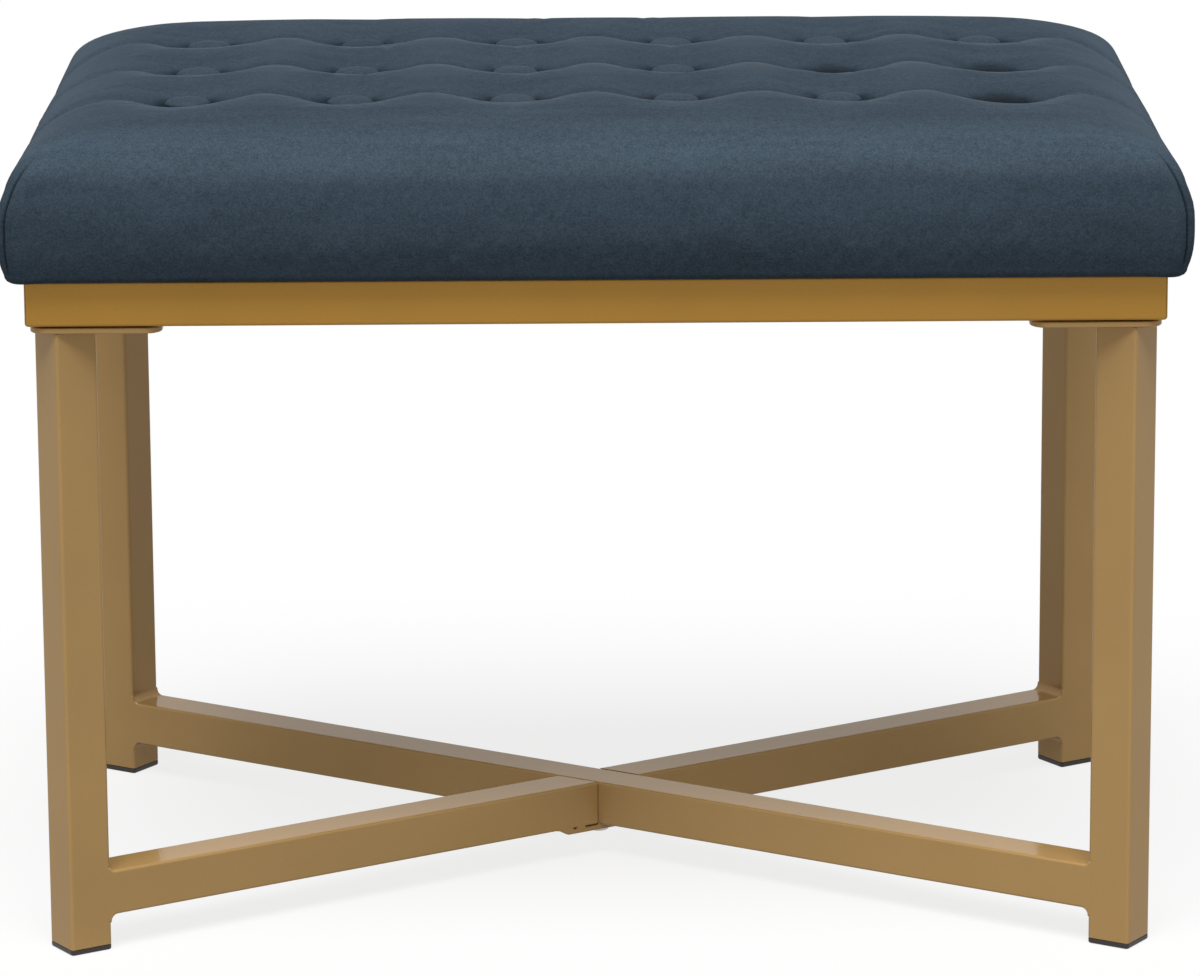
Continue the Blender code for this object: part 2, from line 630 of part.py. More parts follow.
def cushion_bmesh(hem_inset):
    """A sheet over the cushion: a tufted top, bulging walls, and a flat hem turned under below."""
    ring_list = [
        (hem_inset, HEM_BOTTOM),
        (BOTTOM_TUCK, HEM_BOTTOM),
        (0.0, APRON_TOP + BULGE_HEIGHT),
        (WALL_TOP_INSET, APRON_TOP + WALL_HEIGHT),
    ]
    rings = len(ring_list)
    xs = plateau_lines(CUSHION_HALF_X, column_places())
    ys = plateau_lines(CUSHION_HALF_Y, row_places())
    lines_x = [abs(x) for x in xs]
    lines_y = [abs(y) for y in ys]
    columns = len(xs) + 2 * rings
    rows = len(ys) + 2 * rings
    bm = bmesh.new()
    bmesh.ops.create_grid(bm, x_segments=columns - 1, y_segments=rows - 1, size=0.5)
    # each square is split along the line from the nearest corner towards the middle
    along = []
    across = []
    for face in bm.faces:
        middle = face.calc_center_median()
        side = along if middle.x * middle.y > 0 else across
        side.append(face)
    bmesh.ops.triangulate(bm, faces=along, quad_method="FIXED")
    bmesh.ops.triangulate(bm, faces=across, quad_method="ALTERNATE")
    for vertex in bm.verts:
        i = round((vertex.co.x + 0.5) * (columns - 1))
        j = round((vertex.co.y + 0.5) * (rows - 1))
        near_x = min(i, columns - 1 - i)
        near_y = min(j, rows - 1 - j)
        sign_x = -1 if i < columns / 2 else 1
        sign_y = -1 if j < rows / 2 else 1
        number = min(near_x, near_y)
        if number >= rings:
            x = xs[i - rings]
            y = ys[j - rings]
            vertex.co = (x, y, cushion_top(x, y))
            continue
        inset, height = ring_list[number]
        if near_y <= near_x:
            place = ring_place(inset, number, rings, near_x, lines_x, CUSHION_HALF_X, CUSHION_HALF_Y)
            x, y = place
        else:
            place = ring_place(inset, number, rings, near_y, lines_y, CUSHION_HALF_Y, CUSHION_HALF_X)
            y, x = place
        vertex.co = (sign_x * x, sign_y * y, height)
    return bm


def make_cover(velvet, parts):
    """The velvet cover: the sheet over the cushion, given its thickness inwards."""
    bm = cushion_bmesh(CUSHION_OVERHANG + HEM_WIDTH)
    for face in bm.faces:
        face.smooth = True
    mesh = bpy.data.meshes.new("velvet_cover")
    bm.to_mesh(mesh)
    bm.free()
    cover = add_object(mesh.name, mesh, velvet, parts)
    solidify = cover.modifiers.new("thickness", "SOLIDIFY")
    solidify.thickness = COVER_THICKNESS
    solidify.offset = -1
    solidify.use_even_offset = True
    solidify.use_rim = True


def make_foam(foam, parts):
    """The foam pad: the same form inside the cover, hollowed below to wrap the board's edge."""
    bm = cushion_bmesh(CUSHION_OVERHANG + BOARD_INSET - FOAM_GAP)
    bm.normal_update()
    inwards = COVER_THICKNESS + FOAM_GAP
    moved = [(v, v.co - v.normal * v.calc_shell_factor() * inwards) for v in bm.verts]
    for vertex, place in moved:
        vertex.co = place
    rim = [edge for edge in bm.edges if edge.is_boundary]
    recess = bmesh.ops.extrude_edge_only(bm, edges=rim)["geom"]
    for item in recess:
        if isinstance(item, bmesh.types.BMVert):
            item.co.z = BOARD_TOP + FIT
    ceiling = [item for item in recess if isinstance(item, bmesh.types.BMEdge) and item.is_boundary]
    bmesh.ops.contextual_create(bm, geom=ceiling)
    mesh = mesh_from(bm, "foam_pad")
    add_object(mesh.name, mesh, foam, parts)


def make_buttons(velvet, parts):
    """Covered buttons, one at the bottom of each dimple."""
    radius = BUTTON_DIAMETER / 2
    dome = BUTTON_HEIGHT - BUTTON_EDGE
    profile = [(0, BUTTON_HEIGHT)]
    for step in range(1, DOME_STEPS + 1):
        angle = math.pi / 2 * (1 - step / (DOME_STEPS + 1))
        profile.append((radius * math.cos(angle), BUTTON_EDGE + dome * math.sin(angle)))
    profile += [(radius, BUTTON_EDGE), (radius - BUTTON_UNDERCUT, 0), (0, 0)]
    for r, y in enumerate(row_places()):
        for c, x in enumerate(column_places()):
            seat = cushion_top(x + TUFT_SEAT, y + TUFT_SEAT)
            mesh = turned_mesh(f"button_r{r + 1}_c{c + 1}", profile, BUTTON_STEPS)
            add_object(mesh.name, mesh, velvet, parts, (x, y, seat + FIT))


def main():
    """Build every piece of the bench."""
    clear_scene()
    parts = new_collection("ottoman_bench")
    cutters = new_collection("cutters")
    paint = material("gold_paint", "8F7344", 0.38, 0.6)
    velvet = material("blue_grey_velvet", "3C4956", 0.9)
    foam = material("cream_foam", "D8CFA8", 0.95)
    plywood = material("plywood", "B08D5C", 0.7)
    lining = material("black_lining", "1B1B1C", 0.95)
    plastic = material("dark_plastic", "2F2926", 0.5)
    steel = material("zinc_steel", "B5B2A8", 0.35, 1.0)
    make_apron(paint, parts, cutters)
    make_plates(paint, parts, cutters)
    make_legs(paint, parts)
    make_stretchers(paint, parts, cutters)
    make_joining_plate(paint, parts, cutters)
    make_crossing_bolt(steel, parts, cutters)
    make_leg_screws(steel, parts)
    make_seat_screws(steel, parts)
    make_foot_caps(plastic, parts)
    make_seat_board(plywood, parts, cutters)
    make_dust_cover(lining, parts, cutters)
    make_foam(foam, parts)
    make_cover(velvet, parts)
    make_buttons(velvet, parts)


main()
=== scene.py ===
"""Looks of an ottoman bench: tufted velvet seat, lacquered steel frame, stage and camera.

Metres, +Z up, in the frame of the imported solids. Every shape is worked out with numpy from the
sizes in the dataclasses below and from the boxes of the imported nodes.
"""
import logging
import math
from dataclasses import dataclass, field
from enum import Enum

import bmesh
import bpy
import numpy as np
from bpy.types import ID, Material, Mesh, Node, NodeSocket, NodeTree, Object, World
from mathutils import Matrix, Vector


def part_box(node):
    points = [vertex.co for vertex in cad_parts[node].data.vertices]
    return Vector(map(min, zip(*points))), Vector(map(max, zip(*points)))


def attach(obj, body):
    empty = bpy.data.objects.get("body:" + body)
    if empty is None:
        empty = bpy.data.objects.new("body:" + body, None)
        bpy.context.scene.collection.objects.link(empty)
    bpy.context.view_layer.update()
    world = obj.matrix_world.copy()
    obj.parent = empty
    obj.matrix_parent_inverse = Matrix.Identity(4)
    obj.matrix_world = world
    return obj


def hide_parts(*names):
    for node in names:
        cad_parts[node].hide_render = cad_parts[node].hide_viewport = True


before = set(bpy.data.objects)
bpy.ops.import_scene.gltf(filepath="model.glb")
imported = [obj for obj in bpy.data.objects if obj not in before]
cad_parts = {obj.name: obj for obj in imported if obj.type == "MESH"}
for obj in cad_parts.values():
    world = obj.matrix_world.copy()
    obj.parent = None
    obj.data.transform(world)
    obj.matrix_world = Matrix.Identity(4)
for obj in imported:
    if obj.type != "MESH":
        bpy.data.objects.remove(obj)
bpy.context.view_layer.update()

Pair = tuple[float, float]
Triple = tuple[float, float, float]
Relief = tuple[int, float, float]
Array = np.ndarray

LOG = logging.getLogger("bench")

# Gap that the solids keep where they touch
FIT = 0.0003
# Radius of the smallest ring, in the middle of a screw's face
DOT = 0.0002
SHARP_ANGLE = math.radians(38)
EDGE_STEPS = 5
CUTTER_STEPS = 32
WHITE = "FFFFFF"


class Corner(Enum):
    """A corner of the bench, as the signs of its X and Y."""

    FRONT_LEFT = (-1, -1)
    FRONT_RIGHT = (1, -1)
    BACK_LEFT = (-1, 1)
    BACK_RIGHT = (1, 1)


class Side(Enum):
    """A side of the bench, as the direction that it faces."""

    FRONT = (0, -1)
    BACK = (0, 1)
    LEFT = (-1, 0)
    RIGHT = (1, 0)


class Slot(Enum):
    """A material slot of the record."""

    VELVET = "velvet"
    GOLD_PAINT = "gold_paint"
    FOAM = "foam"
    PLYWOOD = "plywood"
    LINING = "lining"
    PLASTIC = "plastic"
    ZINC = "zinc"


def linear(code: str) -> tuple[float, float, float, float]:
    """Turn an sRGB colour into linear light.

    Args:
        code: six hex digits.

    Returns:
        Linear red, green, blue and an alpha of 1.
    """
    channels = [int(code[i:i + 2], 16) / 255 for i in (0, 2, 4)]
    light = [c / 12.92 if c <= 0.04045 else ((c + 0.055) / 1.055) ** 2.4 for c in channels]
    return (*light, 1.0)


def add_node(tree: NodeTree, kind: str, inputs: dict | None = None, **settings: object) -> Node:
    """Add a node with its settings and links.

    Args:
        tree: the node tree.
        kind: the node's type, without its ShaderNode prefix.
        inputs: for each input's name or number, a value or the output that feeds it.
        settings: the node's own properties.

    Returns:
        The new node.
    """
    node = tree.nodes.new("ShaderNode" + kind)
    for name, value in settings.items():
        setattr(node, name, value)
    for key, value in (inputs or {}).items():
        if isinstance(value, NodeSocket):
            tree.links.new(value, node.inputs[key])
        else:
            node.inputs[key].default_value = value
    return node


def smooth_step(value: Array | float) -> Array:
    """Rise smoothly from 0 to 1 as the value goes from 0 to 1."""
    t = np.clip(value, 0.0, 1.0)
    return t * t * (3 - 2 * t)


def ramp(value: Array, start: float, length: float) -> Array:
    """Rise smoothly from 0 to 1 as the value goes from a start over a length."""
    return smooth_step((value - start) / length)


class Kind(Enum):
    """A kind of pattern: noise, cells at random, cells in a grid, or bands stacked along Z."""

    NOISE = "noise"
    CELLS = "cells"
    DOTS = "dots"
    BANDS = "bands"


@dataclass(frozen=True)
class Pattern:
    """A pattern in a finish.

    Its size is that of its blotches, cells or bands in metres, or three along X, Y and Z. Its share
    says how far it moves the colour from dark to light. Its detail adds finer noise to a noise.
    """

    size: float | Triple
    share: float = 0.0
    kind: Kind = Kind.NOISE
    detail: float = 2.0

    def add(self, tree: NodeTree, place: NodeSocket) -> NodeSocket:
        """Add the pattern's nodes.

        Args:
            tree: the node tree.
            place: the Object coordinates.

        Returns:
            The pattern's value, about 0.5 in the middle.
        """
        scale = [float(s) for s in 1 / np.broadcast_to(self.size, 3)]
        mapped = add_node(tree, "Mapping", {"Vector": place, "Scale": scale})
        inputs = {"Vector": mapped.outputs["Vector"], "Scale": 1.0}
        if self.kind is Kind.NOISE:
            return add_node(tree, "TexNoise", inputs | {"Detail": self.detail}).outputs["Fac"]
        if self.kind is Kind.BANDS:
            inputs["Scale"] = 0.5
            return add_node(tree, "TexWave", inputs, bands_direction="Z").outputs["Fac"]
        inputs["Randomness"] = float(self.kind is Kind.CELLS)
        return add_node(tree, "TexVoronoi", inputs).outputs["Distance"]


@dataclass(frozen=True)
class Finish:
    """What every finish has: its slot in the record, colours, patterns and the shader's plain values.

    The patterns mix the two colours. Each relief raises one of them, named by its number, with a
    strength and a height in metres.
    """

    slot: Slot = Slot.GOLD_PAINT
    name: str = "finish"
    dark: str = WHITE
    light: str = WHITE
    roughness: float = 0.5
    metallic: float = 0.0
    specular: float = 0.5
    patterns: tuple[Pattern, ...] = ()
    reliefs: tuple[Relief, ...] = ()

    def build(self) -> None:
        """Make the material from the colours, the patterns and the reliefs."""
        material = bpy.data.materials.new(self.name)
        material.use_nodes = True
        tree = material.node_tree
        shader = tree.nodes["Principled BSDF"]
        shader.inputs["Roughness"].default_value = self.roughness
        shader.inputs["Metallic"].default_value = self.metallic
        shader.inputs["Specular IOR Level"].default_value = self.specular
        place = add_node(tree, "TexCoord").outputs["Object"]
        values = [pattern.add(tree, place) for pattern in self.patterns]
        factor: NodeSocket | float = 0.5
        for value, pattern in zip(values, self.patterns):
            around = add_node(tree, "Math", {0: value, 1: 0.5}, operation="SUBTRACT")
            inputs = {0: around.outputs[0], 1: pattern.share, 2: factor}
            factor = add_node(tree, "Math", inputs, operation="MULTIPLY_ADD").outputs[0]
        inputs = {0: factor, 6: linear(self.dark), 7: linear(self.light)}
        mixed = add_node(tree, "Mix", inputs, data_type="RGBA", clamp_factor=True).outputs[2]
        tree.links.new(mixed, shader.inputs["Base Color"])
        below = {}
        for number, strength, height in self.reliefs:
            inputs = {"Height": values[number], "Strength": strength, "Distance": height, **below}
            below = {"Normal": add_node(tree, "Bump", inputs).outputs["Normal"]}
        tree.links.new(below["Normal"], shader.inputs["Normal"])
        self.complete(tree, shader, mixed, below["Normal"])

    def complete(self, tree: NodeTree, shader: Node, mixed: NodeSocket, normal: NodeSocket) -> None:
        """Add what only this finish has; most have nothing more.

        Args:
            tree: the node tree.
            shader: the Principled shader.
            mixed: the mixed colour.
            normal: the reliefs' normal.
        """

    def material(self) -> Material:
        """The finish's material, made when it is first asked for."""
        if self.name not in bpy.data.materials:
            self.build()
        return bpy.data.materials[self.name]


@dataclass(frozen=True)
class GoldLacquer(Finish):
    """Metallic gold paint, sprayed on steel and baked: satin metal flake under a clear lacquer.

    Its patterns are the flake, a slow drift and the lacquer's orange peel, which softens what the
    lacquer mirrors. At a glancing view it mirrors the pale room, which greys the upper faces.
    """

    slot: Slot = Slot.GOLD_PAINT
    name: str = "sprayed_gold_lacquer"
    dark: str = "B7935D"
    light: str = "CFA76B"
    roughness: float = 0.45
    metallic: float = 0.25
    specular: float = 0.0
    coat: float = 0.9
    coat_roughness: float = 0.10
    # below a real lacquer's 1.5, because a coat this thin and satin mirrors weakly
    coat_index: float = 1.25
    edge_tint: str = "7C8088"
    # real flake is a tenth of the first size; it is drawn coarser so that it shows
    patterns: tuple[Pattern, ...] = (
        Pattern(0.0006, 0.55), Pattern(0.060, 0.5), Pattern(0.0022, detail=1.0),
    )
    reliefs: tuple[Relief, ...] = ((2, 0.12, 0.0002),)

    def complete(self, tree: NodeTree, shader: Node, mixed: NodeSocket, normal: NodeSocket) -> None:
        """Lay the clear coat with its orange peel over the flake.

        Args:
            tree: the node tree.
            shader: the Principled shader.
            mixed: the mixed colour.
            normal: the orange peel's normal.
        """
        tree.links.new(normal, shader.inputs["Coat Normal"])
        shader.inputs["Coat Weight"].default_value = self.coat
        shader.inputs["Coat Roughness"].default_value = self.coat_roughness
        shader.inputs["Coat IOR"].default_value = self.coat_index
        shader.inputs["Specular Tint"].default_value = linear(self.edge_tint)


@dataclass(frozen=True)
class PileVelvet(Finish):
    """Woven polyester velvet with a short brushed pile: matt, with a soft sheen and streaks in the
    pile.

    Its patterns are the streaks, a mottle and the pile's grain. A dark colour is mixed in as painted
    shade, where shade falls in the tufting and on the top and wall. Pile that is brushed over shines
    at a glancing view.
    """

    name: str = "blue_grey_pile_velvet"
    slot: Slot = Slot.VELVET
    dark: str = "3B4854"
    light: str = "50606E"
    # dark colour mixed in as painted shade
    pinched: str = "10161C"
    roughness: float = 0.85
    specular: float = 0.06
    sheen: float = 0.05
    brushed_sheen: float = 0.28
    # the last share of the turn from facing the eye to edge-on, where brushed pile shines
    glancing: float = 0.20
    sheen_roughness: float = 0.30
    sheen_tint: str = "C4C2C4"
    # a pile thread is a fifth of the grain; it is drawn coarser so that it shows
    patterns: tuple[Pattern, ...] = (
        Pattern((0.11, 0.012, 0.020), 0.8), Pattern(0.0035, 0.8), Pattern(0.0011, 1.6, detail=1.0),
    )
    reliefs: tuple[Relief, ...] = ((1, 0.35, 0.0004), (2, 0.45, 0.0003))

    def complete(self, tree: NodeTree, shader: Node, mixed: NodeSocket, normal: NodeSocket) -> None:
        """Mix the dark colour in as painted shade, and give the pile its sheen.

        Args:
            tree: the node tree.
            shader: the Principled shader.
            mixed: the mixed colour.
            normal: the reliefs' normal.
        """
        # painted shade: the attribute mixes the dark colour in where shade falls
        pinch = add_node(tree, "Attribute", attribute_name="pinch").outputs["Fac"]
        shade = {0: pinch, 6: mixed, 7: linear(self.pinched)}
        shade = add_node(tree, "Mix", shade, data_type="RGBA").outputs[2]
        tree.links.new(shade, shader.inputs["Base Color"])
        facing = add_node(tree, "LayerWeight", {"Blend": 0.5}).outputs["Facing"]
        rim = {0: facing, 1: 1 - self.glancing, 2: 1.0, 3: 0.0, 4: self.brushed_sheen}
        rim = add_node(tree, "MapRange", rim).outputs[0]
        brushed = add_node(tree, "Attribute", attribute_name="brushed").outputs["Fac"]
        glow = {0: rim, 1: brushed, 2: self.sheen}
        glow = add_node(tree, "Math", glow, operation="MULTIPLY_ADD").outputs[0]
        tree.links.new(glow, shader.inputs["Sheen Weight"])
        shader.inputs["Sheen Roughness"].default_value = self.sheen_roughness
        shader.inputs["Sheen Tint"].default_value = linear(self.sheen_tint)


@dataclass(frozen=True)
class OpenCellFoam(Finish):
    """Polyurethane foam, cut from a block: matt cream with open cells under a millimetre.

    The cells are light in the middle and darker at their walls.
    """

    name: str = "cream_open_cell_foam"
    slot: Slot = Slot.FOAM
    dark: str = "C9BE93"
    light: str = "E4DCB8"
    roughness: float = 0.95
    specular: float = 0.2
    # a real cell is about half of this; it is drawn coarser so that it shows
    patterns: tuple[Pattern, ...] = (Pattern(0.0009, -0.9, Kind.CELLS),)
    reliefs: tuple[Relief, ...] = ((0, 0.6, 0.0004),)


@dataclass(frozen=True)
class RawPlywood(Finish):
    """Rotary-cut plywood, sawn and unsealed: long grain on its faces, thin plies at its edges."""

    name: str = "raw_plywood"
    slot: Slot = Slot.PLYWOOD
    dark: str = "94713F"
    light: str = "C9A873"
    roughness: float = 0.75
    # real grain lines are a third as wide; they are drawn coarser so that they show
    patterns: tuple[Pattern, ...] = (
        Pattern((0.14, 0.006, 0.006), 1.1, detail=4.0), Pattern(0.0024, 0.35, Kind.BANDS),
    )
    reliefs: tuple[Relief, ...] = ((0, 0.3, 0.0003),)


@dataclass(frozen=True)
class SpunbondLining(Finish):
    """Spunbonded polypropylene lining, point-bonded: black, matt, with a grid of bonded dots."""

    name: str = "black_spunbond_lining"
    slot: Slot = Slot.LINING
    dark: str = "121214"
    light: str = "2B2B2E"
    roughness: float = 0.8
    specular: float = 0.3
    # real fibres are far finer and real dots half as far apart; both are coarser so that they show
    patterns: tuple[Pattern, ...] = (Pattern(0.0009, 0.8), Pattern(0.0022, 0.9, Kind.DOTS))
    reliefs: tuple[Relief, ...] = ((1, 0.6, 0.0003),)


@dataclass(frozen=True)
class MouldedPlastic(Finish):
    """Polyethylene, injection moulded: dark brown, satin, with a fine spark-eroded texture."""

    name: str = "moulded_dark_polyethylene"
    slot: Slot = Slot.PLASTIC
    dark: str = "241E1B"
    light: str = "38302B"
    # a real texture is a tenth of this; it is drawn coarser so that it shows
    patterns: tuple[Pattern, ...] = (Pattern(0.0006, 0.8),)
    reliefs: tuple[Relief, ...] = ((0, 0.25, 0.0001),)


@dataclass(frozen=True)
class ZincPlate(Finish):
    """Steel, cold headed and zinc plated: bright grey metal with a faint cloudy bloom."""

    name: str = "zinc_plated_steel"
    slot: Slot = Slot.ZINC
    dark: str = "9C9A92"
    light: str = "C6C4BC"
    roughness: float = 0.34
    metallic: float = 1.0
    patterns: tuple[Pattern, ...] = (Pattern(0.004, 1.2),)
    reliefs: tuple[Relief, ...] = ((0, 0.1, 0.0002),)


def bell(value: Array) -> Array:
    """Fall from 1 at 0 towards 0 on both sides: exp(-value^2)."""
    return np.exp(-(value ** 2))


def middle_of(node: str) -> Vector:
    """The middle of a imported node's box."""
    return sum(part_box(node), Vector()) / 2


def grid_squares(rows: int, columns: int, close_rows: bool, close_columns: bool) -> Array:
    """Number the corners of a grid's squares.

    Args:
        rows: how many rows of points.
        columns: how many points in a row.
        close_rows: whether the last row joins the first.
        close_columns: whether each row's last point joins its first.

    Returns:
        Four point numbers for each square.
    """
    row = np.arange(rows if close_rows else rows - 1)
    column = np.arange(columns if close_columns else columns - 1)
    r, c = np.meshgrid(row, column, indexing="ij")
    next_r = (r + 1) % rows
    next_c = (c + 1) % columns
    corners = [r * columns + c, r * columns + next_c, next_r * columns + next_c, next_r * columns + c]
    return np.stack(corners, axis=-1).reshape(-1, 4)


def rounded_rectangle(
    half_x: float, half_y: float, radius: float, steps: int, support: float
) -> Array:
    """Points round a rectangle with round corners.

    Each corner is a quarter circle, (r cos a, r sin a) about its centre, turned by 90 degrees from
    the one before it. A point lies a support's length before and after each quarter circle, so
    that the flats between them look flat when shaded smooth.

    Args:
        half_x: half the width.
        half_y: half the height.
        radius: the corners' radius.
        steps: how many steps a quarter circle has.
        support: the support's length.

    Returns:
        The points, anticlockwise, as rows of two.
    """
    angle = np.linspace(0, math.pi / 2, steps + 1)
    arc = radius * np.column_stack([np.cos(angle), np.sin(angle)])
    arc = np.vstack([[radius, -support], arc, [-support, radius]])
    corners = []
    for quarter, (sign_x, sign_y) in enumerate([(1, 1), (-1, 1), (-1, -1), (1, -1)]):
        turn = quarter * math.pi / 2
        spin = np.array([[math.cos(turn), math.sin(turn)], [-math.sin(turn), math.cos(turn)]])
        centre = [sign_x * (half_x - radius), sign_y * (half_y - radius)]
        corners.append(arc @ spin + centre)
    return np.vstack(corners)


def round_edge(radius: float) -> tuple[Array, Array]:
    """A quarter circle at an edge: how far it draws in, r (1 - sin a), and rises, r (1 - cos a)."""
    angle = np.linspace(0, math.pi / 2, EDGE_STEPS)
    return radius * (1 - np.sin(angle)), radius * (1 - np.cos(angle))


def level_rings(outlines: list[Array], heights: list[float]) -> Array:
    """Lay each outline level at its height, as a ring."""
    rings = [np.column_stack([flat, np.full(len(flat), z)]) for flat, z in zip(outlines, heights)]
    return np.array(rings)


def link_object(name: str, data: ID) -> Object:
    """Put a mesh, a lamp or a camera into the scene as a new object."""
    made = bpy.data.objects.new(name, data)
    bpy.context.scene.collection.objects.link(made)
    return made


def plain_mesh(name: str, places: Array, faces: list) -> Mesh:
    """Make a smooth mesh from points and the point numbers of each face."""
    mesh = bpy.data.meshes.new(name)
    mesh.from_pydata(places.tolist(), [], faces)
    mesh.shade_smooth()
    return mesh


def closed_mesh(name: str, places: Array, faces: list) -> Mesh:
    """Make a closed mesh with its faces pointing out and its sharp edges kept.

    Args:
        name: the mesh's name.
        places: the points.
        faces: the point numbers of each face.

    Returns:
        The mesh.
    """
    mesh = plain_mesh(name, places, faces)
    body = bmesh.new()
    body.from_mesh(mesh)
    if body.calc_volume(signed=True) < 0:
        bmesh.ops.reverse_faces(body, faces=body.faces)
    body.to_mesh(mesh)
    body.free()
    mesh.set_sharp_from_angle(angle=SHARP_ANGLE)
    return mesh


def ring_mesh(name: str, rings: Array, hollow: bool) -> Mesh:
    """Join rings of points into a closed mesh.

    Args:
        name: the mesh's name.
        rings: the rings, each with as many points.
        hollow: the last ring joins the first, as on a tube. Otherwise flat ends close the shape.

    Returns:
        The mesh.
    """
    count, size = rings.shape[:2]
    faces = grid_squares(count, size, hollow, True).tolist()
    if not hollow:
        faces.append(list(range(size)))
        faces.append(list(range((count - 1) * size, count * size)))
    return closed_mesh(name, rings.reshape(-1, 3), faces)


def add_piece(node: str, mesh: Mesh, finish: Finish) -> Object:
    """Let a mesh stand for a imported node.

    Args:
        node: the node's name.
        mesh: the mesh, in place.
        finish: its finish.

    Returns:
        The new object, which rides on the bench.
    """
    piece = link_object(node + "_fine", mesh)
    mesh.materials.clear()
    mesh.materials.append(finish.material())
    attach(piece, "root")
    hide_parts(node)
    LOG.info("%s: %d faces, %s", piece.name, len(mesh.polygons), finish.name)
    return piece


def dress_node(node: str, finish: Finish) -> None:
    """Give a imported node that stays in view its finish.

    Args:
        node: the node's name.
        finish: its finish.
    """
    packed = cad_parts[node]
    for slot in packed.material_slots:
        slot.material = finish.material()
    LOG.info("%s: packed node, %s", node, finish.name)


def write_pile(mesh: Mesh, count: int, **shares: Array | float) -> None:
    """Write what the velvet reads at each point, such as its share of painted shade.

    Args:
        mesh: the mesh.
        count: how many points get the value; the points after them get 0.
        shares: each attribute's value, 0 to 1.
    """
    for name, share in shares.items():
        value = np.zeros(len(mesh.vertices))
        value[:count] = share
        mesh.attributes.new(name, "FLOAT", "POINT").data.foreach_set("value", value)


def drill(mesh: Mesh, cutters: list[Mesh]) -> Mesh:
    """Cut closed meshes out of a closed mesh.

    Args:
        mesh: the mesh to cut.
        cutters: the meshes to take away.

    Returns:
        The cut mesh.
    """
    body = link_object("body", mesh)
    tools = [link_object("tool", cutter) for cutter in cutters]
    for tool in tools:
        cut = body.modifiers.new("cut", "BOOLEAN")
        cut.operation = "DIFFERENCE"
        cut.solver = "EXACT"
        cut.object = tool
    bpy.context.view_layer.update()
    result = bpy.data.meshes.new_from_object(body.evaluated_get(bpy.context.evaluated_depsgraph_get()))
    for spent in [body, *tools]:
        bpy.data.objects.remove(spent, do_unlink=True)
    result.name = mesh.name
    result.shade_smooth()
    result.set_sharp_from_angle(angle=SHARP_ANGLE)
    return result


def place_mesh(mesh: Mesh, place: Triple, turn: float) -> Mesh:
    """Turn a mesh about Z and then move it."""
    mesh.transform(Matrix.Translation(place) @ Matrix.Rotation(turn, 4, "Z"))
    return mesh


def turned_mesh(
    name: str, radii: list[float], heights: list[float], steps: int, recess: float = 0.0,
    recess_depth: float = 0.0,
) -> Mesh:
    """Turn a profile about Z, with a cross recess pressed into its lower face.

    Each ring is (r cos a, r sin a, h). Points of the first rings, which lie on the lower face, are
    raised by the recess's depth where they are inside either arm of a cross. An arm is a bar as
    long as the recess and a quarter as wide, with soft edges.

    Args:
        name: the mesh's name.
        radii: the profile's radii, from the lower face's middle to the top.
        heights: the profile's heights.
        steps: how many points a ring has.
        recess: the cross's length, or 0 for none.
        recess_depth: how deep it goes.

    Returns:
        The mesh.
    """
    angle = np.linspace(0, 2 * math.pi, steps, endpoint=False)
    r = np.array(radii)[:, None]
    x = r * np.cos(angle)
    y = r * np.sin(angle)
    z = np.repeat(np.array(heights)[:, None], steps, axis=1)
    if recess:
        arms = []
        for along, across in ((x, y), (y, x)):
            inside = smooth_step((recess / 8 - np.abs(across)) / (recess / 16) + 0.5)
            arms.append(inside * smooth_step((recess / 2 - np.abs(along)) / (recess / 8) + 0.5))
        on_face = np.abs(z - heights[0]) < FIT / 3
        z = z + recess_depth * np.maximum(*arms) * on_face
    return ring_mesh(name, np.stack([x, y, z], axis=-1), False)


def stand_mesh(mesh: Mesh, node: str, turn: float = 0.0) -> Mesh:
    """Turn a mesh about Z and move it, along the floor, to the middle of its node."""
    return place_mesh(mesh, (*middle_of(node).xy, 0.0), turn)


def round_cutter(radii: list[float], heights: list[float], x: float = 0.0, y: float = 0.0) -> Mesh:
    """A turned shape to cut away, standing at X and Y."""
    return place_mesh(turned_mesh("cutter", radii, heights, CUTTER_STEPS), (x, y, 0.0), 0.0)


@dataclass(frozen=True)
class ScrewShape:
    """A screw or bolt, head down, with a cross recess.

    Its lower face is flat out to a share of the head. The rim then gives the head's roundness: the
    share of the head's radius at each height. The neck is the height where the shank starts.
    """

    shank: float
    flat: float
    rim: tuple[Pair, ...]
    neck: float
    tip: float
    tip_length: float
    recess: float
    recess_depth: float = 0.0018
    head: float = 0.0
    face_rings: int = 16
    steps: int = 48

    def build(self, node: str, finish: Finish, turn: float = 0.0) -> None:
        """Make the screw for a node.

        Args:
            node: the node's name; its own width is the head's where the shape names none.
            finish: its finish.
            turn: the recess's turn about Z.
        """
        low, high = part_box(node)
        head = (self.head or high.x - low.x) / 2
        shank = self.shank / 2
        face = np.linspace(DOT, head * self.flat, self.face_rings)
        radii = [*face, *(head * share for share, _ in self.rim), shank, shank, shank * self.tip]
        rise = [0.0] * self.face_rings + [height for _, height in self.rim] + [self.neck]
        heights = [low.z + r for r in rise] + [high.z - self.tip_length, high.z]
        mesh = turned_mesh(node, radii, heights, self.steps, self.recess, self.recess_depth)
        add_piece(node, stand_mesh(mesh, node, turn), finish)


@dataclass
class TubeStock:
    """Square steel tube: its side, wall and edge radius."""

    side: float = 0.025
    wall: float = 0.0015
    edge: float = 0.0018
    steps: int = 7
    support: float = 0.0005

    def sections(self, proud: float = 0.0) -> tuple[Array, Array]:
        """Outlines of the tube's outside and inside.

        Args:
            proud: how far the outside stands out past the tube's real size.

        Returns:
            The two outlines, as rows of two.
        """
        half = self.side / 2
        outer = rounded_rectangle(half + proud, half + proud, self.edge, self.steps, self.support)
        bore = half - self.wall
        inner = rounded_rectangle(bore, bore, self.edge / 3, self.steps, self.support)
        return outer, inner


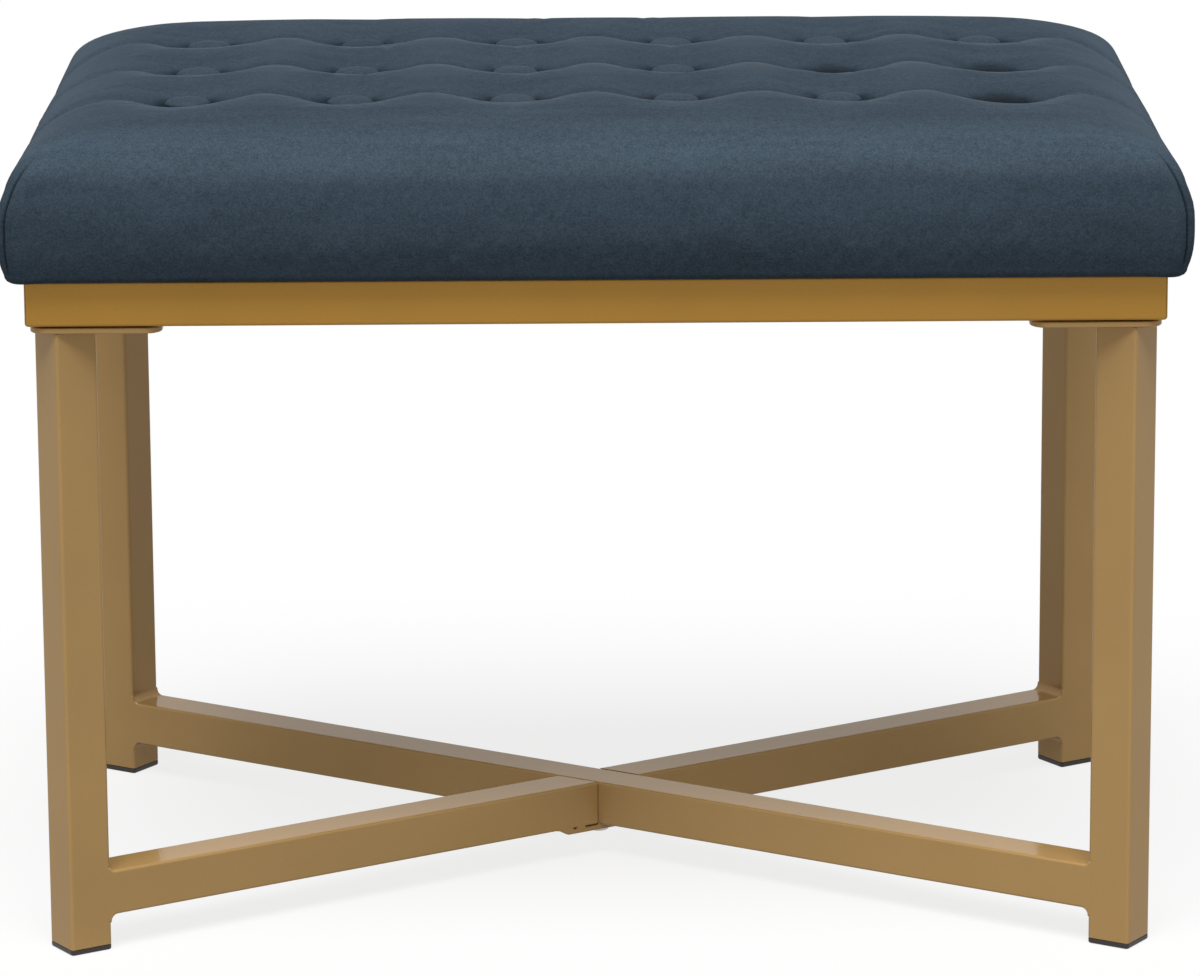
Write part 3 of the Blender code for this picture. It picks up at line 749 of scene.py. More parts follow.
@dataclass
class ApronFrame:
    """The mitred apron of square tube under the seat."""

    finish: Finish
    stock: TubeStock = field(default_factory=TubeStock)
    corner: float = 0.0022
    corner_steps: int = 6
    mitre_gap: float = 0.00002
    straight_share: float = 0.6
    access_hole: float = 0.0101
    seat_hole: float = 0.0046
    leg_hole: float = 0.0066

    def mitred_rings(self, section: Array, half_length: float) -> Array:
        """Carry a section along X between two mitred ends.

        A point's depth e is its distance from the outer face. Past the corner radius R, it ends
        at x = L/2 - e. Nearer the face it follows the corner's arc about (L/2 - R, R), so that
        x = L/2 - R + (R - e) sin a and its depth grows to R - (R - e) cos a, for a up to 45 degrees.

        Args:
            section: the section's outline, with the outer face at -Y.
            half_length: half the tube's length at its outer face.

        Returns:
            The rings, from the left end to the right.
        """
        half = self.stock.side / 2
        depth = section[:, 0] + half
        start = half_length - self.stock.side - self.corner
        bent = np.linspace(self.straight_share, 1.0, self.corner_steps + 1)
        share = np.concatenate([[0.0], bent])[:, None]
        straight = np.clip(share / self.straight_share, 0, 1)
        bend = np.clip((share - self.straight_share) / (1 - self.straight_share), 0, 1)
        angle = bend * math.pi / 4
        lead = np.where(depth < self.corner, 0.0, self.corner / 2)
        reach = half_length - np.maximum(depth, self.corner) - lead
        arm = np.maximum(self.corner - depth, 0)
        x = start + (reach - start) * straight + arm * np.sin(angle) + lead * bend
        e = np.where(depth < self.corner, self.corner - arm * np.cos(angle), depth + 0 * angle)
        z = np.broadcast_to(section[:, 1], x.shape)
        right = np.stack([x - self.mitre_gap * bend, e - half, z], axis=-1)
        left = right * [-1, 1, 1]
        return np.concatenate([left[::-1], right])

    def build(self) -> None:
        """Make the four tubes, with their holes for the seat screws and the leg screws."""
        half = self.stock.side / 2
        past = 2 * self.stock.wall
        outer, inner = self.stock.sections()
        for side in Side:
            node = "frame_tube_" + side.name.lower()
            low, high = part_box(node)
            axis = abs(side.value[0])
            half_length = (high - low)[axis] / 2
            outside, inside = (self.mitred_rings(line, half_length) for line in (outer, inner))
            mesh = ring_mesh(node, np.concatenate([outside, inside[::-1]]), True)
            along = abs(middle_of("leg_screw_front_left_" + "ab"[axis])[axis])
            holes = [(self.access_hole, -half, 0.0), (self.seat_hole, half, 0.0)]
            holes += [(self.leg_hole, -half, place) for place in (-along, along)]
            cutters = [round_cutter([hole / 2] * 2, [z - past, z + past], x) for hole, z, x in holes]
            turn = math.atan2(side.value[1], side.value[0]) + math.pi / 2
            add_piece(node, place_mesh(drill(mesh, cutters), middle_of(node), turn), self.finish)


@dataclass
class LegSet:
    """The four legs with their plates, screws and foot caps."""

    paint: Finish
    plastic: Finish
    steel: Finish
    turn: float
    stock: TubeStock = field(default_factory=TubeStock)
    plate_corner: float = 0.010
    plate_edge: float = 0.0009
    plate_gap: float = 0.0005
    # steps of a plate corner, and the length that keeps the flats beside it flat
    plate_fineness: tuple[int, float] = (12, 0.001)
    sole: float = 0.003
    sole_edge: float = 0.0011
    sole_lip: float = 0.0003
    plug_taper: float = 0.0004
    plug_lead: Pair = (0.0005, 0.001)
    least_edge: float = 0.0008
    screw: ScrewShape = ScrewShape(
        head=0.0118, shank=0.006, flat=0.97, rim=((1.0, 0.0002),), neck=0.0029, tip=0.7,
        tip_length=0.001, recess=0.0058,
    )

    def leg(self, name: str, turn: float) -> None:
        """Make a leg: the tube's section carried straight up."""
        node = "leg_" + name
        low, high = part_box(node)
        outer, inner = self.stock.sections()
        rings = level_rings([outer, outer, inner, inner], [low.z, high.z, high.z, low.z])
        add_piece(node, stand_mesh(ring_mesh(node, rings, True), node, turn), self.paint)

    def plate(self, name: str, screws: list[str]) -> None:
        """Make the plate on a leg: a rounded square whose edges are quarter circles.

        Args:
            name: the leg's name.
            screws: the nodes of the screws through it.
        """
        node = "leg_plate_" + name
        low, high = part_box(node)
        half = (high.x - low.x) / 2
        inset, drop = round_edge(self.plate_edge)
        top = high.z - self.plate_gap - drop[::-1]
        outlines = [
            rounded_rectangle(half - step, half - step, self.plate_corner - step, *self.plate_fineness)
            for step in [*inset, *inset[::-1]]
        ]
        mesh = ring_mesh(node, level_rings(outlines, [*(low.z + drop), *top]), False)
        mouth = self.screw.head / 2 + FIT
        bore = self.screw.shank / 2 + FIT
        radii = [mouth + FIT, mouth, bore, bore]
        heights = [low.z - FIT, low.z, low.z + self.screw.neck, high.z + FIT]
        cutters = [round_cutter(radii, heights, *middle_of(screw).xy) for screw in screws]
        add_piece(node, drill(stand_mesh(mesh, node), cutters), self.paint)

    def foot(self, name: str, turn: float) -> None:
        """Make a foot cap: a rounded sole, and the plug that fills the tube's end."""
        node = "foot_cap_" + name
        low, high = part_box(node)
        half = self.stock.side / 2
        inset, rise = (list(part) for part in round_edge(self.sole_edge))
        lip = self.sole_lip
        plug = self.stock.wall + self.plug_taper
        inset += [0.0, lip, plug, plug, plug + self.plug_taper, plug + 3 * self.plug_taper]
        top = high.z - low.z
        foot, head = self.plug_lead
        rise += [self.sole - lip, self.sole, self.sole, self.sole + foot, top - head, top]
        fineness = self.stock.steps, self.stock.support
        outlines = []
        for step in inset:
            edge = max(self.stock.edge - step / 2, self.least_edge)
            outlines.append(rounded_rectangle(half - step, half - step, edge, *fineness))
        rings = level_rings(outlines, [low.z + height for height in rise])
        add_piece(node, stand_mesh(ring_mesh(node, rings, False), node, turn), self.plastic)

    def build(self) -> None:
        """Make all four legs."""
        for corner in Corner:
            name = corner.name.lower()
            turn = self.turn * corner.value[0] * corner.value[1]
            screws = [f"leg_screw_{name}_{which}" for which in "ab"]
            self.leg(name, turn)
            self.plate(name, screws)
            self.foot(name, turn)
            for node in screws:
                self.screw.build(node, self.steel, self.turn)


@dataclass
class StretcherCross:
    """The low cross of stretchers, its joining plate and its bolt."""

    paint: Finish
    steel: Finish
    turn: float
    diagonal: float
    stock: TubeStock = field(default_factory=lambda: TubeStock(edge=0.0013))
    weld: float = 0.0045
    small_weld: float = 0.0022
    weld_steps: int = 10
    bite: float = 0.0020
    proud: float = 0.00004
    plate_flat: float = 0.0275
    plate_bead: float = 0.0085
    plate_edge: float = 0.0008
    plate_steps: tuple[int, int, int] = (120, 13, 4)
    bead_fall: float = 0.97
    fill: float = 0.85
    slit_depth: float = 0.0011
    slit_reach: float = 0.0030
    slit_fade: float = 0.0006
    butt_gap: float = 0.0008
    # along the bar, each slit's middle and half its length
    slits: tuple[Pair, ...] = ((0.0240, 0.0016), (0.0127, 0.0047))
    past: float = 0.002
    bolt: ScrewShape = ScrewShape(
        head=0.0125, shank=0.006, flat=0.78, rim=((0.9, 0.0005), (0.97, 0.0012), (1.0, 0.003)),
        neck=0.003, tip=0.75, tip_length=0.001, recess=0.0066,
    )

    def welded_end(self, above: float, below: float) -> tuple[Array, Array]:
        """Stations of a bar's welded end.

        A weld of size w is a concave quarter circle between the bar and the leg: at a distance d
        from the leg it adds w - sqrt(w^2 - (w - d)^2) to the bar's height.

        Args:
            above: the size of the weld on top of the bar.
            below: the size of the weld under it.

        Returns:
            Each station's distance from the leg's face, and what the welds add there below and above.
        """
        angle = np.linspace(0, math.pi / 2, self.weld_steps + 1)
        distance = np.concatenate([self.weld * (1 - np.cos(angle)), [2 * self.weld]])
        added = []
        for size in (below, above):
            left = np.clip(size - distance, 0, size)
            added.append(size - np.sqrt(size ** 2 - left ** 2))
        added = np.array(added).T
        return np.concatenate([[-self.bite], distance]), np.concatenate([added[:1], added])

    def bar_mesh(self, node: str, place: list[Array], added: Array) -> Mesh:
        """Make a hollow bar along X.

        Args:
            node: the bar's node.
            place: the X of each station's points, for the outside and the inside.
            added: what the welds add below and above at each station.

        Returns:
            The mesh, about the bar's middle line.
        """
        rings = []
        for outline, x, grown in zip(self.stock.sections(self.proud), place, (1.0, 0.0)):
            y, z = np.broadcast_to(outline.T[:, None], (2, len(x), len(outline)))
            extra = np.where(z > 0, added[:, 1:], -added[:, :1]) * (np.abs(z) > self.stock.side / 4)
            rings.append(np.stack([np.broadcast_to(x, y.shape), y, z + extra * grown], axis=-1))
        return ring_mesh(node, np.concatenate([rings[0], rings[1][::-1]]), True)

    def bolt_hole(self, bottom: float, top: float) -> Mesh:
        """The bolt's hole between two heights, to cut away."""
        return round_cutter([self.bolt.shank / 2 + FIT] * 2, [bottom, top])

    def through_bar(self) -> None:
        """Make the bar that runs right through, with the bolt's hole in its lower wall."""
        node = "stretcher_through"
        half = self.stock.side / 2
        reach = self.diagonal - half
        back, back_added = self.welded_end(self.weld, self.weld)
        front, front_added = self.welded_end(self.small_weld, self.weld)
        x = np.concatenate([back - reach, reach - front[::-1]])[:, None]
        mesh = self.bar_mesh(node, [x, x], np.concatenate([back_added, front_added[::-1]]))
        mesh = drill(mesh, [self.bolt_hole(-half - self.past, -half + 2 * self.stock.wall)])
        add_piece(node, place_mesh(mesh, (0, 0, middle_of(node).z), -self.turn), self.paint)

    def half_bar(self, name: str, turn: float, above: float) -> None:
        """Make a half of the other bar, cut aslant to butt against the through bar.

        Its inner end lies on the through bar's side: x = (s/2 + gap - y cos 2t) / sin 2t.

        Args:
            name: which half.
            turn: its turn about Z.
            above: the size of the weld on top of its outer end.
        """
        node = "stretcher_half_" + name
        end, added = self.welded_end(above, self.weld)
        end = self.diagonal - self.stock.side / 2 - end[::-1]
        crossing = 2 * self.turn
        across = self.stock.side / 2 + self.butt_gap
        place = []
        for outline in self.stock.sections(self.proud):
            slant = (across - outline[:, 0] * math.cos(crossing)) / math.sin(crossing)
            place.append(np.vstack([slant, np.repeat(end[:, None], len(outline), axis=1)]))
        mesh = self.bar_mesh(node, place, np.concatenate([added[-1:], added[::-1]]))
        add_piece(node, place_mesh(mesh, (0, 0, middle_of(node).z), turn), self.paint)

    def joining_plate(self) -> None:
        """Make the plate under the crossing, welded to the two halves of the bar above it.

        Each ring is the plate's section: a flat underside with round edges, and on both sides a
        weld that fills the groove under the bar's round edge. Towards each end the underside rises
        along a smooth step to the bar, as a sloping bead. At the slits there is no weld, and the
        plate's edge is drawn in and down, so that a dark groove shows.
        """
        node = "joining_plate"
        low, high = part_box(node)
        half = self.stock.side / 2
        flat_steps, bead_steps, edge_steps = self.plate_steps
        near = np.linspace(0, self.plate_flat, flat_steps)
        slope = self.plate_flat + self.plate_bead * np.linspace(0, 1, bead_steps)[1:]
        x = np.concatenate([-slope[::-1], -near[:0:-1], near, slope])[:, None]
        fall = smooth_step((np.abs(x) - self.plate_flat) / self.plate_bead)
        depth = (high.z - low.z) * (1 - self.bead_fall * fall)
        filled = np.ones_like(x)
        for middle, reach in self.slits:
            filled *= smooth_step((np.abs(np.abs(x) - middle) - reach) / self.slit_fade + 1)
        edge = self.plate_edge
        angle = np.linspace(0, math.pi / 2, edge_steps)
        across = np.concatenate([half - edge + edge * np.sin(angle), [half, half]])
        down = np.concatenate([1 - np.cos(angle), [1.0]])
        low_side = [-depth + np.minimum(edge, depth / 2) * d for d in down]
        lip = self.stock.edge * self.fill * filled - self.slit_depth * (1 - filled)
        inner = half - self.stock.edge - self.slit_reach * (1 - filled)
        height = np.concatenate([*low_side, lip, np.full_like(x, FIT)], axis=1)
        y = np.concatenate([np.broadcast_to(across, (len(x), len(across))), inner], axis=1)
        y = np.concatenate([y, -y[:, ::-1]], axis=1)
        height = np.concatenate([height, height[:, ::-1]], axis=1)
        rings = np.stack(np.broadcast_arrays(x, y, height + high.z + FIT), axis=-1)
        mesh = place_mesh(ring_mesh(node, rings, False), (0, 0, 0), self.turn)
        hole = self.bolt_hole(low.z - self.past, high.z + self.past)
        add_piece(node, drill(mesh, [hole]), self.paint)

    def build(self) -> None:
        """Make the bars, the plate and the bolt, and dress the nut inside."""
        self.through_bar()
        self.half_bar("front", self.turn + math.pi, self.small_weld)
        self.half_bar("back", self.turn, self.weld)
        self.joining_plate()
        self.bolt.build("crossing_bolt", self.steel)
        dress_node("crossing_nut", self.steel)


@dataclass
class Sheet:
    """A sheet over the cushion: rings of points round its walls, and a grid in the last ring."""

    loop: Array
    grid: Array

    def numbers(self) -> Array:
        """The number of each of the grid's points. Its rim has the numbers of the last ring."""
        rings, size = self.loop.shape[:2]
        nx, ny = self.grid.shape[:2]
        last = (rings - 1) * size
        number = np.empty((nx, ny), int)
        number[1:-1, 1:-1] = rings * size + np.arange((nx - 2) * (ny - 2)).reshape(nx - 2, ny - 2)
        number[:, 0] = last + np.arange(nx)
        number[-1, :] = last + nx - 1 + np.arange(ny)
        number[::-1, -1] = last + nx + ny - 2 + np.arange(nx)
        number[0, 1:] = last + size - np.arange(1, ny)
        return number

    def points(self) -> Array:
        """All points: the rings', then the grid's without its rim."""
        depth = self.loop.shape[-1]
        return np.concatenate([self.loop.reshape(-1, depth), self.grid[1:-1, 1:-1].reshape(-1, depth)])

    def faces(self) -> Array:
        """The squares, facing out."""
        walls = grid_squares(*self.loop.shape[:2], False, True)
        top = grid_squares(*self.grid.shape[:2], False, False)
        return np.concatenate([walls, self.numbers().ravel()[top][:, ::-1]])

    def with_points(self, points: Array) -> "Sheet":
        """The same sheet with other points."""
        rings, size = self.loop.shape[:2]
        return Sheet(points[: rings * size].reshape(rings, size, -1), points[self.numbers()])

    def coarse(self) -> "Sheet":
        """The sheet with every second line."""
        return Sheet(self.loop[::2, ::2], self.grid[::2, ::2])

    def fine(self) -> "Sheet":
        """The sheet with a line halfway between each pair of lines."""
        rings = halve_steps(self.loop)
        around = np.concatenate([rings, rings[:, :1]], axis=1)
        loop = halve_steps(around.swapaxes(0, 1)).swapaxes(0, 1)[:, :-1]
        grid = halve_steps(halve_steps(self.grid).swapaxes(0, 1)).swapaxes(0, 1)
        return Sheet(loop, grid)

    def normals(self) -> Array:
        """Mean direction of the squares round each point, as unit vectors."""
        points = self.points()
        faces = self.faces()
        corner = points[faces]
        face = np.cross(corner[:, 2] - corner[:, 0], corner[:, 3] - corner[:, 1])
        total = np.zeros_like(points)
        for index in range(4):
            np.add.at(total, faces[:, index], face)
        return total / np.linalg.norm(total, axis=1, keepdims=True)

    def raised(self, height: Array | float) -> "Sheet":
        """The sheet moved out along its normals."""
        rise = np.broadcast_to(height, len(self.points()))[:, None]
        return self.with_points(self.points() + self.normals() * rise)


def halve_steps(values: Array) -> Array:
    """Put the mean of each pair of neighbours between them, along the first axis."""
    result = np.empty((2 * len(values) - 1, *values.shape[1:]))
    result[::2] = values
    result[1::2] = (values[1:] + values[:-1]) / 2
    return result


@dataclass
class CushionForm:
    """The cushion's outer surface, as a formula.

    Rings go round the cushion from the hem up over the shoulder. Each is a rounded rectangle with
    its own inset, corner radius and height. A grid of points fills the last ring. A pair of sizes
    that ends in "step" is where a smooth step starts and how long it is.
    """

    half_x: float
    half_y: float
    hem_height: float
    apron_top: float
    hem_inset: float = 0.0205
    height: float = 0.086
    wall: float = 0.049
    corner: float = 0.014
    corner_tightening: float = 0.6
    least_corner: float = 0.004
    shoulder: float = 0.100
    shoulder_power: float = 2.1
    corner_growth: float = 0.50
    tuck: float = 0.0032
    tuck_power: float = 2.6
    roll: float = 0.0042
    bulge: float = 0.024
    wall_top_inset: float = 0.0020
    end_lean: float = 0.0042
    lean_up_step: Pair = (0.034, 0.024)
    lean_out_step: Pair = (-0.083, 0.06)
    corner_droop: float = 0.0014
    droop_height: float = 0.012
    droop_reach: float = 0.02
    # how far in from the sides the droop ends, and over what length
    droop_edge: Pair = (0.0125, 0.004)
    rows: int = 3
    columns: int = 6
    row_margin: float = 0.1175
    column_margin: float = 0.096
    button: float = 0.0248
    tuft_depth: float = 0.0065
    tuft_reach: float = 0.016
    tuft_reach_across: float = 0.026
    deep_tufts: tuple[tuple[int, int], ...] = ((1, 6), (2, 5), (2, 6))
    deeper: float = 0.0026
    nest_depth: float = 0.0024
    nest_reach: float = 0.0030
    valley_depth: float = 0.0020
    valley_reach: float = 0.020
    pleat_depth: float = 0.0020
    pleat_reach: float = 0.0045
    # painted shade in the pleats along the rows
    pleat_shade: float = 0.16
    valley_end: float = 0.045
    notch_depth: float = 0.0022
    notch_reach: float = 0.008
    # share of the shoulder's full height where the notches lie, and its spread
    notch_fullness: Pair = (0.6, 0.25)
    crease_depth: float = 0.0026
    crease_place: float = 0.0150
    crease_reach: float = 0.0042
    crease_width: float = 0.0040
    # painted shade in the ears beside each button, round each button's rim and in the deep tufts'
    # hollows
    ear_reach: float = 0.0072
    ear_side_step: Pair = (0.50, 0.25)
    ear_shade: float = 0.88
    hollow_reach: Pair = (0.0165, 0.023)
    hollow_shade: float = 0.93
    rim_reach: float = 0.0021
    rim_shade: float = 0.72
    # painted shade on the top and on the wall, weaker near the hem
    top_shade: float = 0.30
    top_step: Pair = (0.45, 0.5)
    wall_shade: float = 0.20
    wall_step: Pair = (-0.001, 0.022)
    hem_share: float = 0.35
    hem_step: Pair = (0.006, 0.016)
    # painted highlight along the ridges, where the top's painted shade gives way
    ridge_depth: float = 0.0018
    ridge_shine: float = 0.80
    # how far past the last row the brushed pile ends, and over what length
    brushed_back: Pair = (0.004, 0.008)
    brushed_step: Pair = (0.86, 0.1)
    seam_depth: float = 0.0016
    seam_width: float = 0.0009
    seam_dip: float = 0.0005
    seam_dip_width: float = 5.0
    seam_end: float = 0.019
    seam_fade: float = 0.012
    seam_step: Pair = (0.003, 0.008)
    spacing: float = 0.0034
    samples: int = 4001
    # rings in the hem, its roll, the bulge and the wall; and in the shoulder, out of a quarter turn's
    low_rings: tuple[int, int, int, int] = (3, 4, 6, 5)
    shoulder_rings: tuple[int, int] = (15, 21)
    # how many times closer the mesh lines lie at the corners and at the buttons, and how far
    corner_lines: Pair = (4.5, 0.005)
    column_lines: Pair = (0.7, 0.017)
    row_lines: Pair = (1.5, 0.012)

    def row_places(self) -> Array:
        """Y of each row of buttons."""
        return np.linspace(-1, 1, self.rows) * (self.half_y - self.row_margin)

    def column_places(self) -> Array:
        """X of each column of buttons."""
        return np.linspace(-1, 1, self.columns) * (self.half_x - self.column_margin)

    def buttons(self) -> list[tuple[tuple[int, int], float, float]]:
        """Each button's row and column, counted from the front left, and its X and Y."""
        rows, columns = self.row_places(), self.column_places()
        return [((r + 1, c + 1), x, y) for r, y in enumerate(rows) for c, x in enumerate(columns)]

    def shares(self, half: float, dense: Array, lines: Pair) -> Array:
        """Places of the mesh lines along a side, from -1 at one corner to 1 at the next.

        The lines' density is 1 + more exp(-c / reach) for the distance c from the corner, and the
        sum of more exp(-(d / reach)^2) for the distance d from each dense place.

        Args:
            half: half the side's length.
            dense: places along the side where the lines lie closer.
            lines: how much closer they lie there, and how far from it.

        Returns:
            The places, an odd number of them.
        """
        place = np.linspace(-half, half, self.samples)
        at_corner, reach = self.corner_lines
        density = 1 + at_corner * np.exp(-(half - np.abs(place)) / reach)
        more, reach = lines
        density += more * bell((place[:, None] - dense) / reach).sum(axis=1)
        count = np.concatenate([[0.0], np.cumsum((density[1:] + density[:-1]) / 2 * np.diff(place))])
        steps = 4 * round(count[-1] / self.spacing / 4)
        return np.interp(np.linspace(0, count[-1], steps + 1), count, place) / half

    def side(
        self, share: Array, inset: Array, radius: Array, half: float, other: float
    ) -> tuple[Array, Array]:
        """Places along one side of rounded rectangles, from the middle of a corner to the next.

        Args:
            share: places from -1 to 1 along the side.
            inset: how far each rectangle is drawn in, as a column.
            radius: each rectangle's corner radius, as a column.
            half: half the length of the side at no inset.
            other: half the distance between this side and the opposite one.

        Returns:
            The distance along the side from its middle, and the distance out from the centre.
        """
        straight = half - inset - radius
        length = straight + radius * math.pi / 4
        path = np.abs(share) * length
        angle = np.maximum(path - straight, 0) / radius
        along = np.sign(share) * (np.minimum(path, straight) + radius * np.sin(angle))
        return along, other - inset - radius * (1 - np.cos(angle))

    def ring_profile(self) -> tuple[Array, Array, Array]:
        """Inset, corner radius and height of each ring, from the hem up.

        The wall is drawn in below by a power of 1 - t of the tuck. The shoulder is a superellipse:
        inset R (1 - cos^(2/p) a) and height H sin^(2/p) a. Its corner radius grows with the inset.

        Returns:
            Three columns, one row for each ring.
        """
        power = 2 / self.shoulder_power
        in_hem, in_roll, in_bulge, in_wall = self.low_rings
        hem = np.linspace(self.hem_inset, self.tuck + self.roll, in_hem)
        turn = np.linspace(0, math.pi / 2, in_roll + 1)[1:]
        under = self.tuck + self.roll * (1 - np.sin(turn))
        rise = np.linspace(0, 1, in_bulge + 1)[1:]
        climb = np.linspace(0, 1, in_wall + 1)[1:]
        over_rings, quarter = self.shoulder_rings
        angle = np.linspace(0, math.pi / 2, quarter + 1)[1:over_rings + 1]
        over = self.shoulder * (1 - np.cos(angle) ** power)
        wall = [self.tuck * (1 - rise) ** self.tuck_power, self.wall_top_inset * climb ** 2]
        low = np.concatenate([hem, under, *wall])
        inset = np.concatenate([low, self.wall_top_inset + over])
        ledge = self.apron_top - self.hem_height
        heights = [
            hem * 0,
            self.roll * (1 - np.cos(turn)),
            self.roll + (ledge + self.bulge - self.roll) * rise,
            ledge + self.bulge + (self.wall - self.bulge) * climb,
            ledge + self.wall + (self.height - self.wall) * np.sin(angle) ** power,
        ]
        drawn_in = np.minimum(inset, self.corner) * self.corner_tightening
        tight = np.maximum(self.corner - drawn_in, self.least_corner)
        above = np.maximum(inset - self.wall_top_inset, 0) * (np.arange(len(inset)) >= len(low))
        radius = np.where(above > 0, self.corner + self.corner_growth * above, tight)
        return inset[:, None], radius[:, None], self.hem_height + np.concatenate(heights)[:, None]

    def level(self, x: Array, y: Array) -> Array:
        """Inset, above the wall, of the rounded rectangle that a point lies on.

        Args:
            x: the points' X.
            y: their Y.

        Returns:
            The inset, found by halving its range 25 times.
        """
        low = np.zeros_like(x)
        high = np.full_like(x, self.half_y)
        for _ in range(25):
            middle = (low + high) / 2
            radius = self.corner + self.corner_growth * np.minimum(middle, self.shoulder)
            out_x = np.maximum(np.abs(x) - (self.half_x - self.wall_top_inset - middle - radius), 0)
            out_y = np.maximum(np.abs(y) - (self.half_y - self.wall_top_inset - middle - radius), 0)
            inside = np.hypot(out_x, out_y) < radius
            low = np.where(inside, middle, low)
            high = np.where(inside, high, middle)
        return (low + high) / 2

    def fullness(self, x: Array, y: Array) -> Array:
        """Share of its full height that the shoulder has at a place: 0 at the wall, 1 on the top."""
        over = np.clip(self.level(x, y) / self.shoulder, 0, 1)
        return (1 - (1 - over) ** self.shoulder_power) ** (1 / self.shoulder_power)

    def plain(self) -> Sheet:
        """The sheet before it is tufted."""
        share_x = self.shares(self.half_x, self.column_places(), self.column_lines)
        share_y = self.shares(self.half_y, self.row_places(), self.row_lines)
        inset, radius, height = self.ring_profile()
        along_x, out_y = self.side(share_x, inset, radius, self.half_x, self.half_y)
        along_y, out_x = self.side(share_y, inset, radius, self.half_y, self.half_x)
        loop_x = [along_x[:, :-1], out_x[:, :-1], -along_x[:, :-1], -out_x[:, :-1]]
        loop_y = [-out_y[:, :-1], along_y[:, :-1], out_y[:, :-1], -along_y[:, :-1]]
        x = np.concatenate(loop_x, axis=1)
        y = np.concatenate(loop_y, axis=1)
        loop = np.stack([x, y, np.broadcast_to(height, x.shape)], axis=-1)
        # the grid's rows and columns bow out to meet the last ring
        grid_x = along_x[-1][:, None] + (out_x[-1] - along_x[-1][-1])[None, :] * share_x[:, None]
        grid_y = along_y[-1][None, :] + (out_y[-1] - along_y[-1][-1])[:, None] * share_y[None, :]
        top = self.apron_top + self.wall + (self.height - self.wall) * self.fullness(grid_x, grid_y)
        return Sheet(loop, np.stack([grid_x, grid_y, top], axis=-1))

    def from_button(self, x: Array, y: Array) -> Array:
        """How far points are from the rim of the nearest button."""
        away = [np.hypot(x - column, y - row) for _, column, row in self.buttons()]
        return np.minimum.reduce(away) - self.button / 2

    def dimples(self, x: Array, y: Array) -> Array:
        """Depth of the dimples.

        A dimple is level under its button. Outside the button's radius b it is exp(-s^2), where s is
        the distance from the button, shortened by b, over the dimple's reach in that direction. Its
        nest, where the cloth hugs the button's rim, is exp(-((r - b) / reach)^2).

        Args:
            x: the points' X.
            y: their Y.

        Returns:
            The depth.
        """
        depth = np.zeros_like(x)
        for place, column, row in self.buttons():
            away = np.maximum(np.hypot(x - column, y - row), FIT)
            outside = np.maximum(1 - self.button / 2 / away, 0)
            share = np.hypot((x - column) / self.tuft_reach, (y - row) / self.tuft_reach_across)
            full = self.tuft_depth + self.sunk(place) - self.nest_depth
            nest = np.maximum(away - self.button / 2, 0) / self.nest_reach
            depth += full * bell(share * outside) + self.nest_depth * bell(nest)
        return depth

    def sunk(self, place: tuple[int, int]) -> float:
        """How much deeper than its solid the button in a row and column is drawn."""
        return self.nest_depth + (self.deeper if place in self.deep_tufts else 0.0)

    def lasting(self, x: Array, y: Array) -> Array:
        """Share of its depth that a valley keeps: it fades past its last buttons and on the sides."""
        past = (np.abs(x) - self.column_places()[-1] - self.button / 2) / self.valley_end
        return self.fullness(x, y) * (1 - smooth_step(past))

    def across(self, y: Array, reach: float) -> Array:
        """Share, 0 to 1, of a furrow along each row: exp(-(d / reach)^2)."""
        return bell((y[..., None] - self.row_places()) / reach).sum(axis=-1)

    def valleys(self, x: Array, y: Array) -> Array:
        """Depth of the valley along each row, with a narrow pleat in it and notches in the ends.

        A notch is exp(-((f - share) / spread)^2) for the shoulder's share f of its full height.
        """
        valley = self.valley_depth * self.across(y, self.valley_reach)
        valley = (valley + self.pleat_depth * self.across(y, self.pleat_reach)) * self.lasting(x, y)
        share, spread = self.notch_fullness
        place = bell((self.fullness(x, y) - share) / spread)
        at_end = np.abs(x) > self.half_x - self.shoulder
        return valley + self.notch_depth * self.across(y, self.notch_reach) * place * at_end

    def creases(self, x: Array, y: Array, widened: float) -> Array:
        """Share, 0 to 1, of the short creases that run from both sides of each button.

        Args:
            x: the points' X.
            y: their Y.
            widened: how many times wider than it is a crease is taken.

        Returns:
            The share: exp(-((|dx| - place) / reach)^2 - (dy / width)^2).
        """
        share = np.zeros_like(x)
        for _, column, row in self.buttons():
            along = (np.abs(x - column) - self.crease_place) / self.crease_reach
            across = (y - row) / self.crease_width / widened
            share = np.maximum(share, np.exp(-(along ** 2) - across ** 2))
        return share

    def ridges(self, x: Array, y: Array) -> Array:
        """Share, 0 to 1, of painted highlight where the top rolls down in front of a row: the top's
        painted shade gives way there.

        It is t exp(1 - t), where t is the tufting's depth over a ridge's depth.
        """
        t = (self.dimples(x, y) + self.valleys(x, y)) / self.ridge_depth
        away = y[..., None] - self.row_places()
        nearest = np.take_along_axis(away, np.abs(away).argmin(axis=-1)[..., None], axis=-1)[..., 0]
        return t * np.exp(1 - t) * (nearest < 0)

    def painted_top_and_wall_shade(self, points: Array) -> Array:
        """Painted shade on the wall, weaker near the hem, and on the top, where it gives way to a
        painted highlight along the ridges.
        """
        x, y, z = points.T
        up = z - self.apron_top - self.wall
        over = ramp(self.fullness(x, y), *self.top_step) * (up > 0)
        top = self.top_shade * over * (1 - self.ridge_shine * self.ridges(x, y))
        low = self.hem_share + (1 - self.hem_share) * ramp(z - self.hem_height, *self.hem_step)
        return top + self.wall_shade * low * (1 - ramp(up, *self.wall_step))

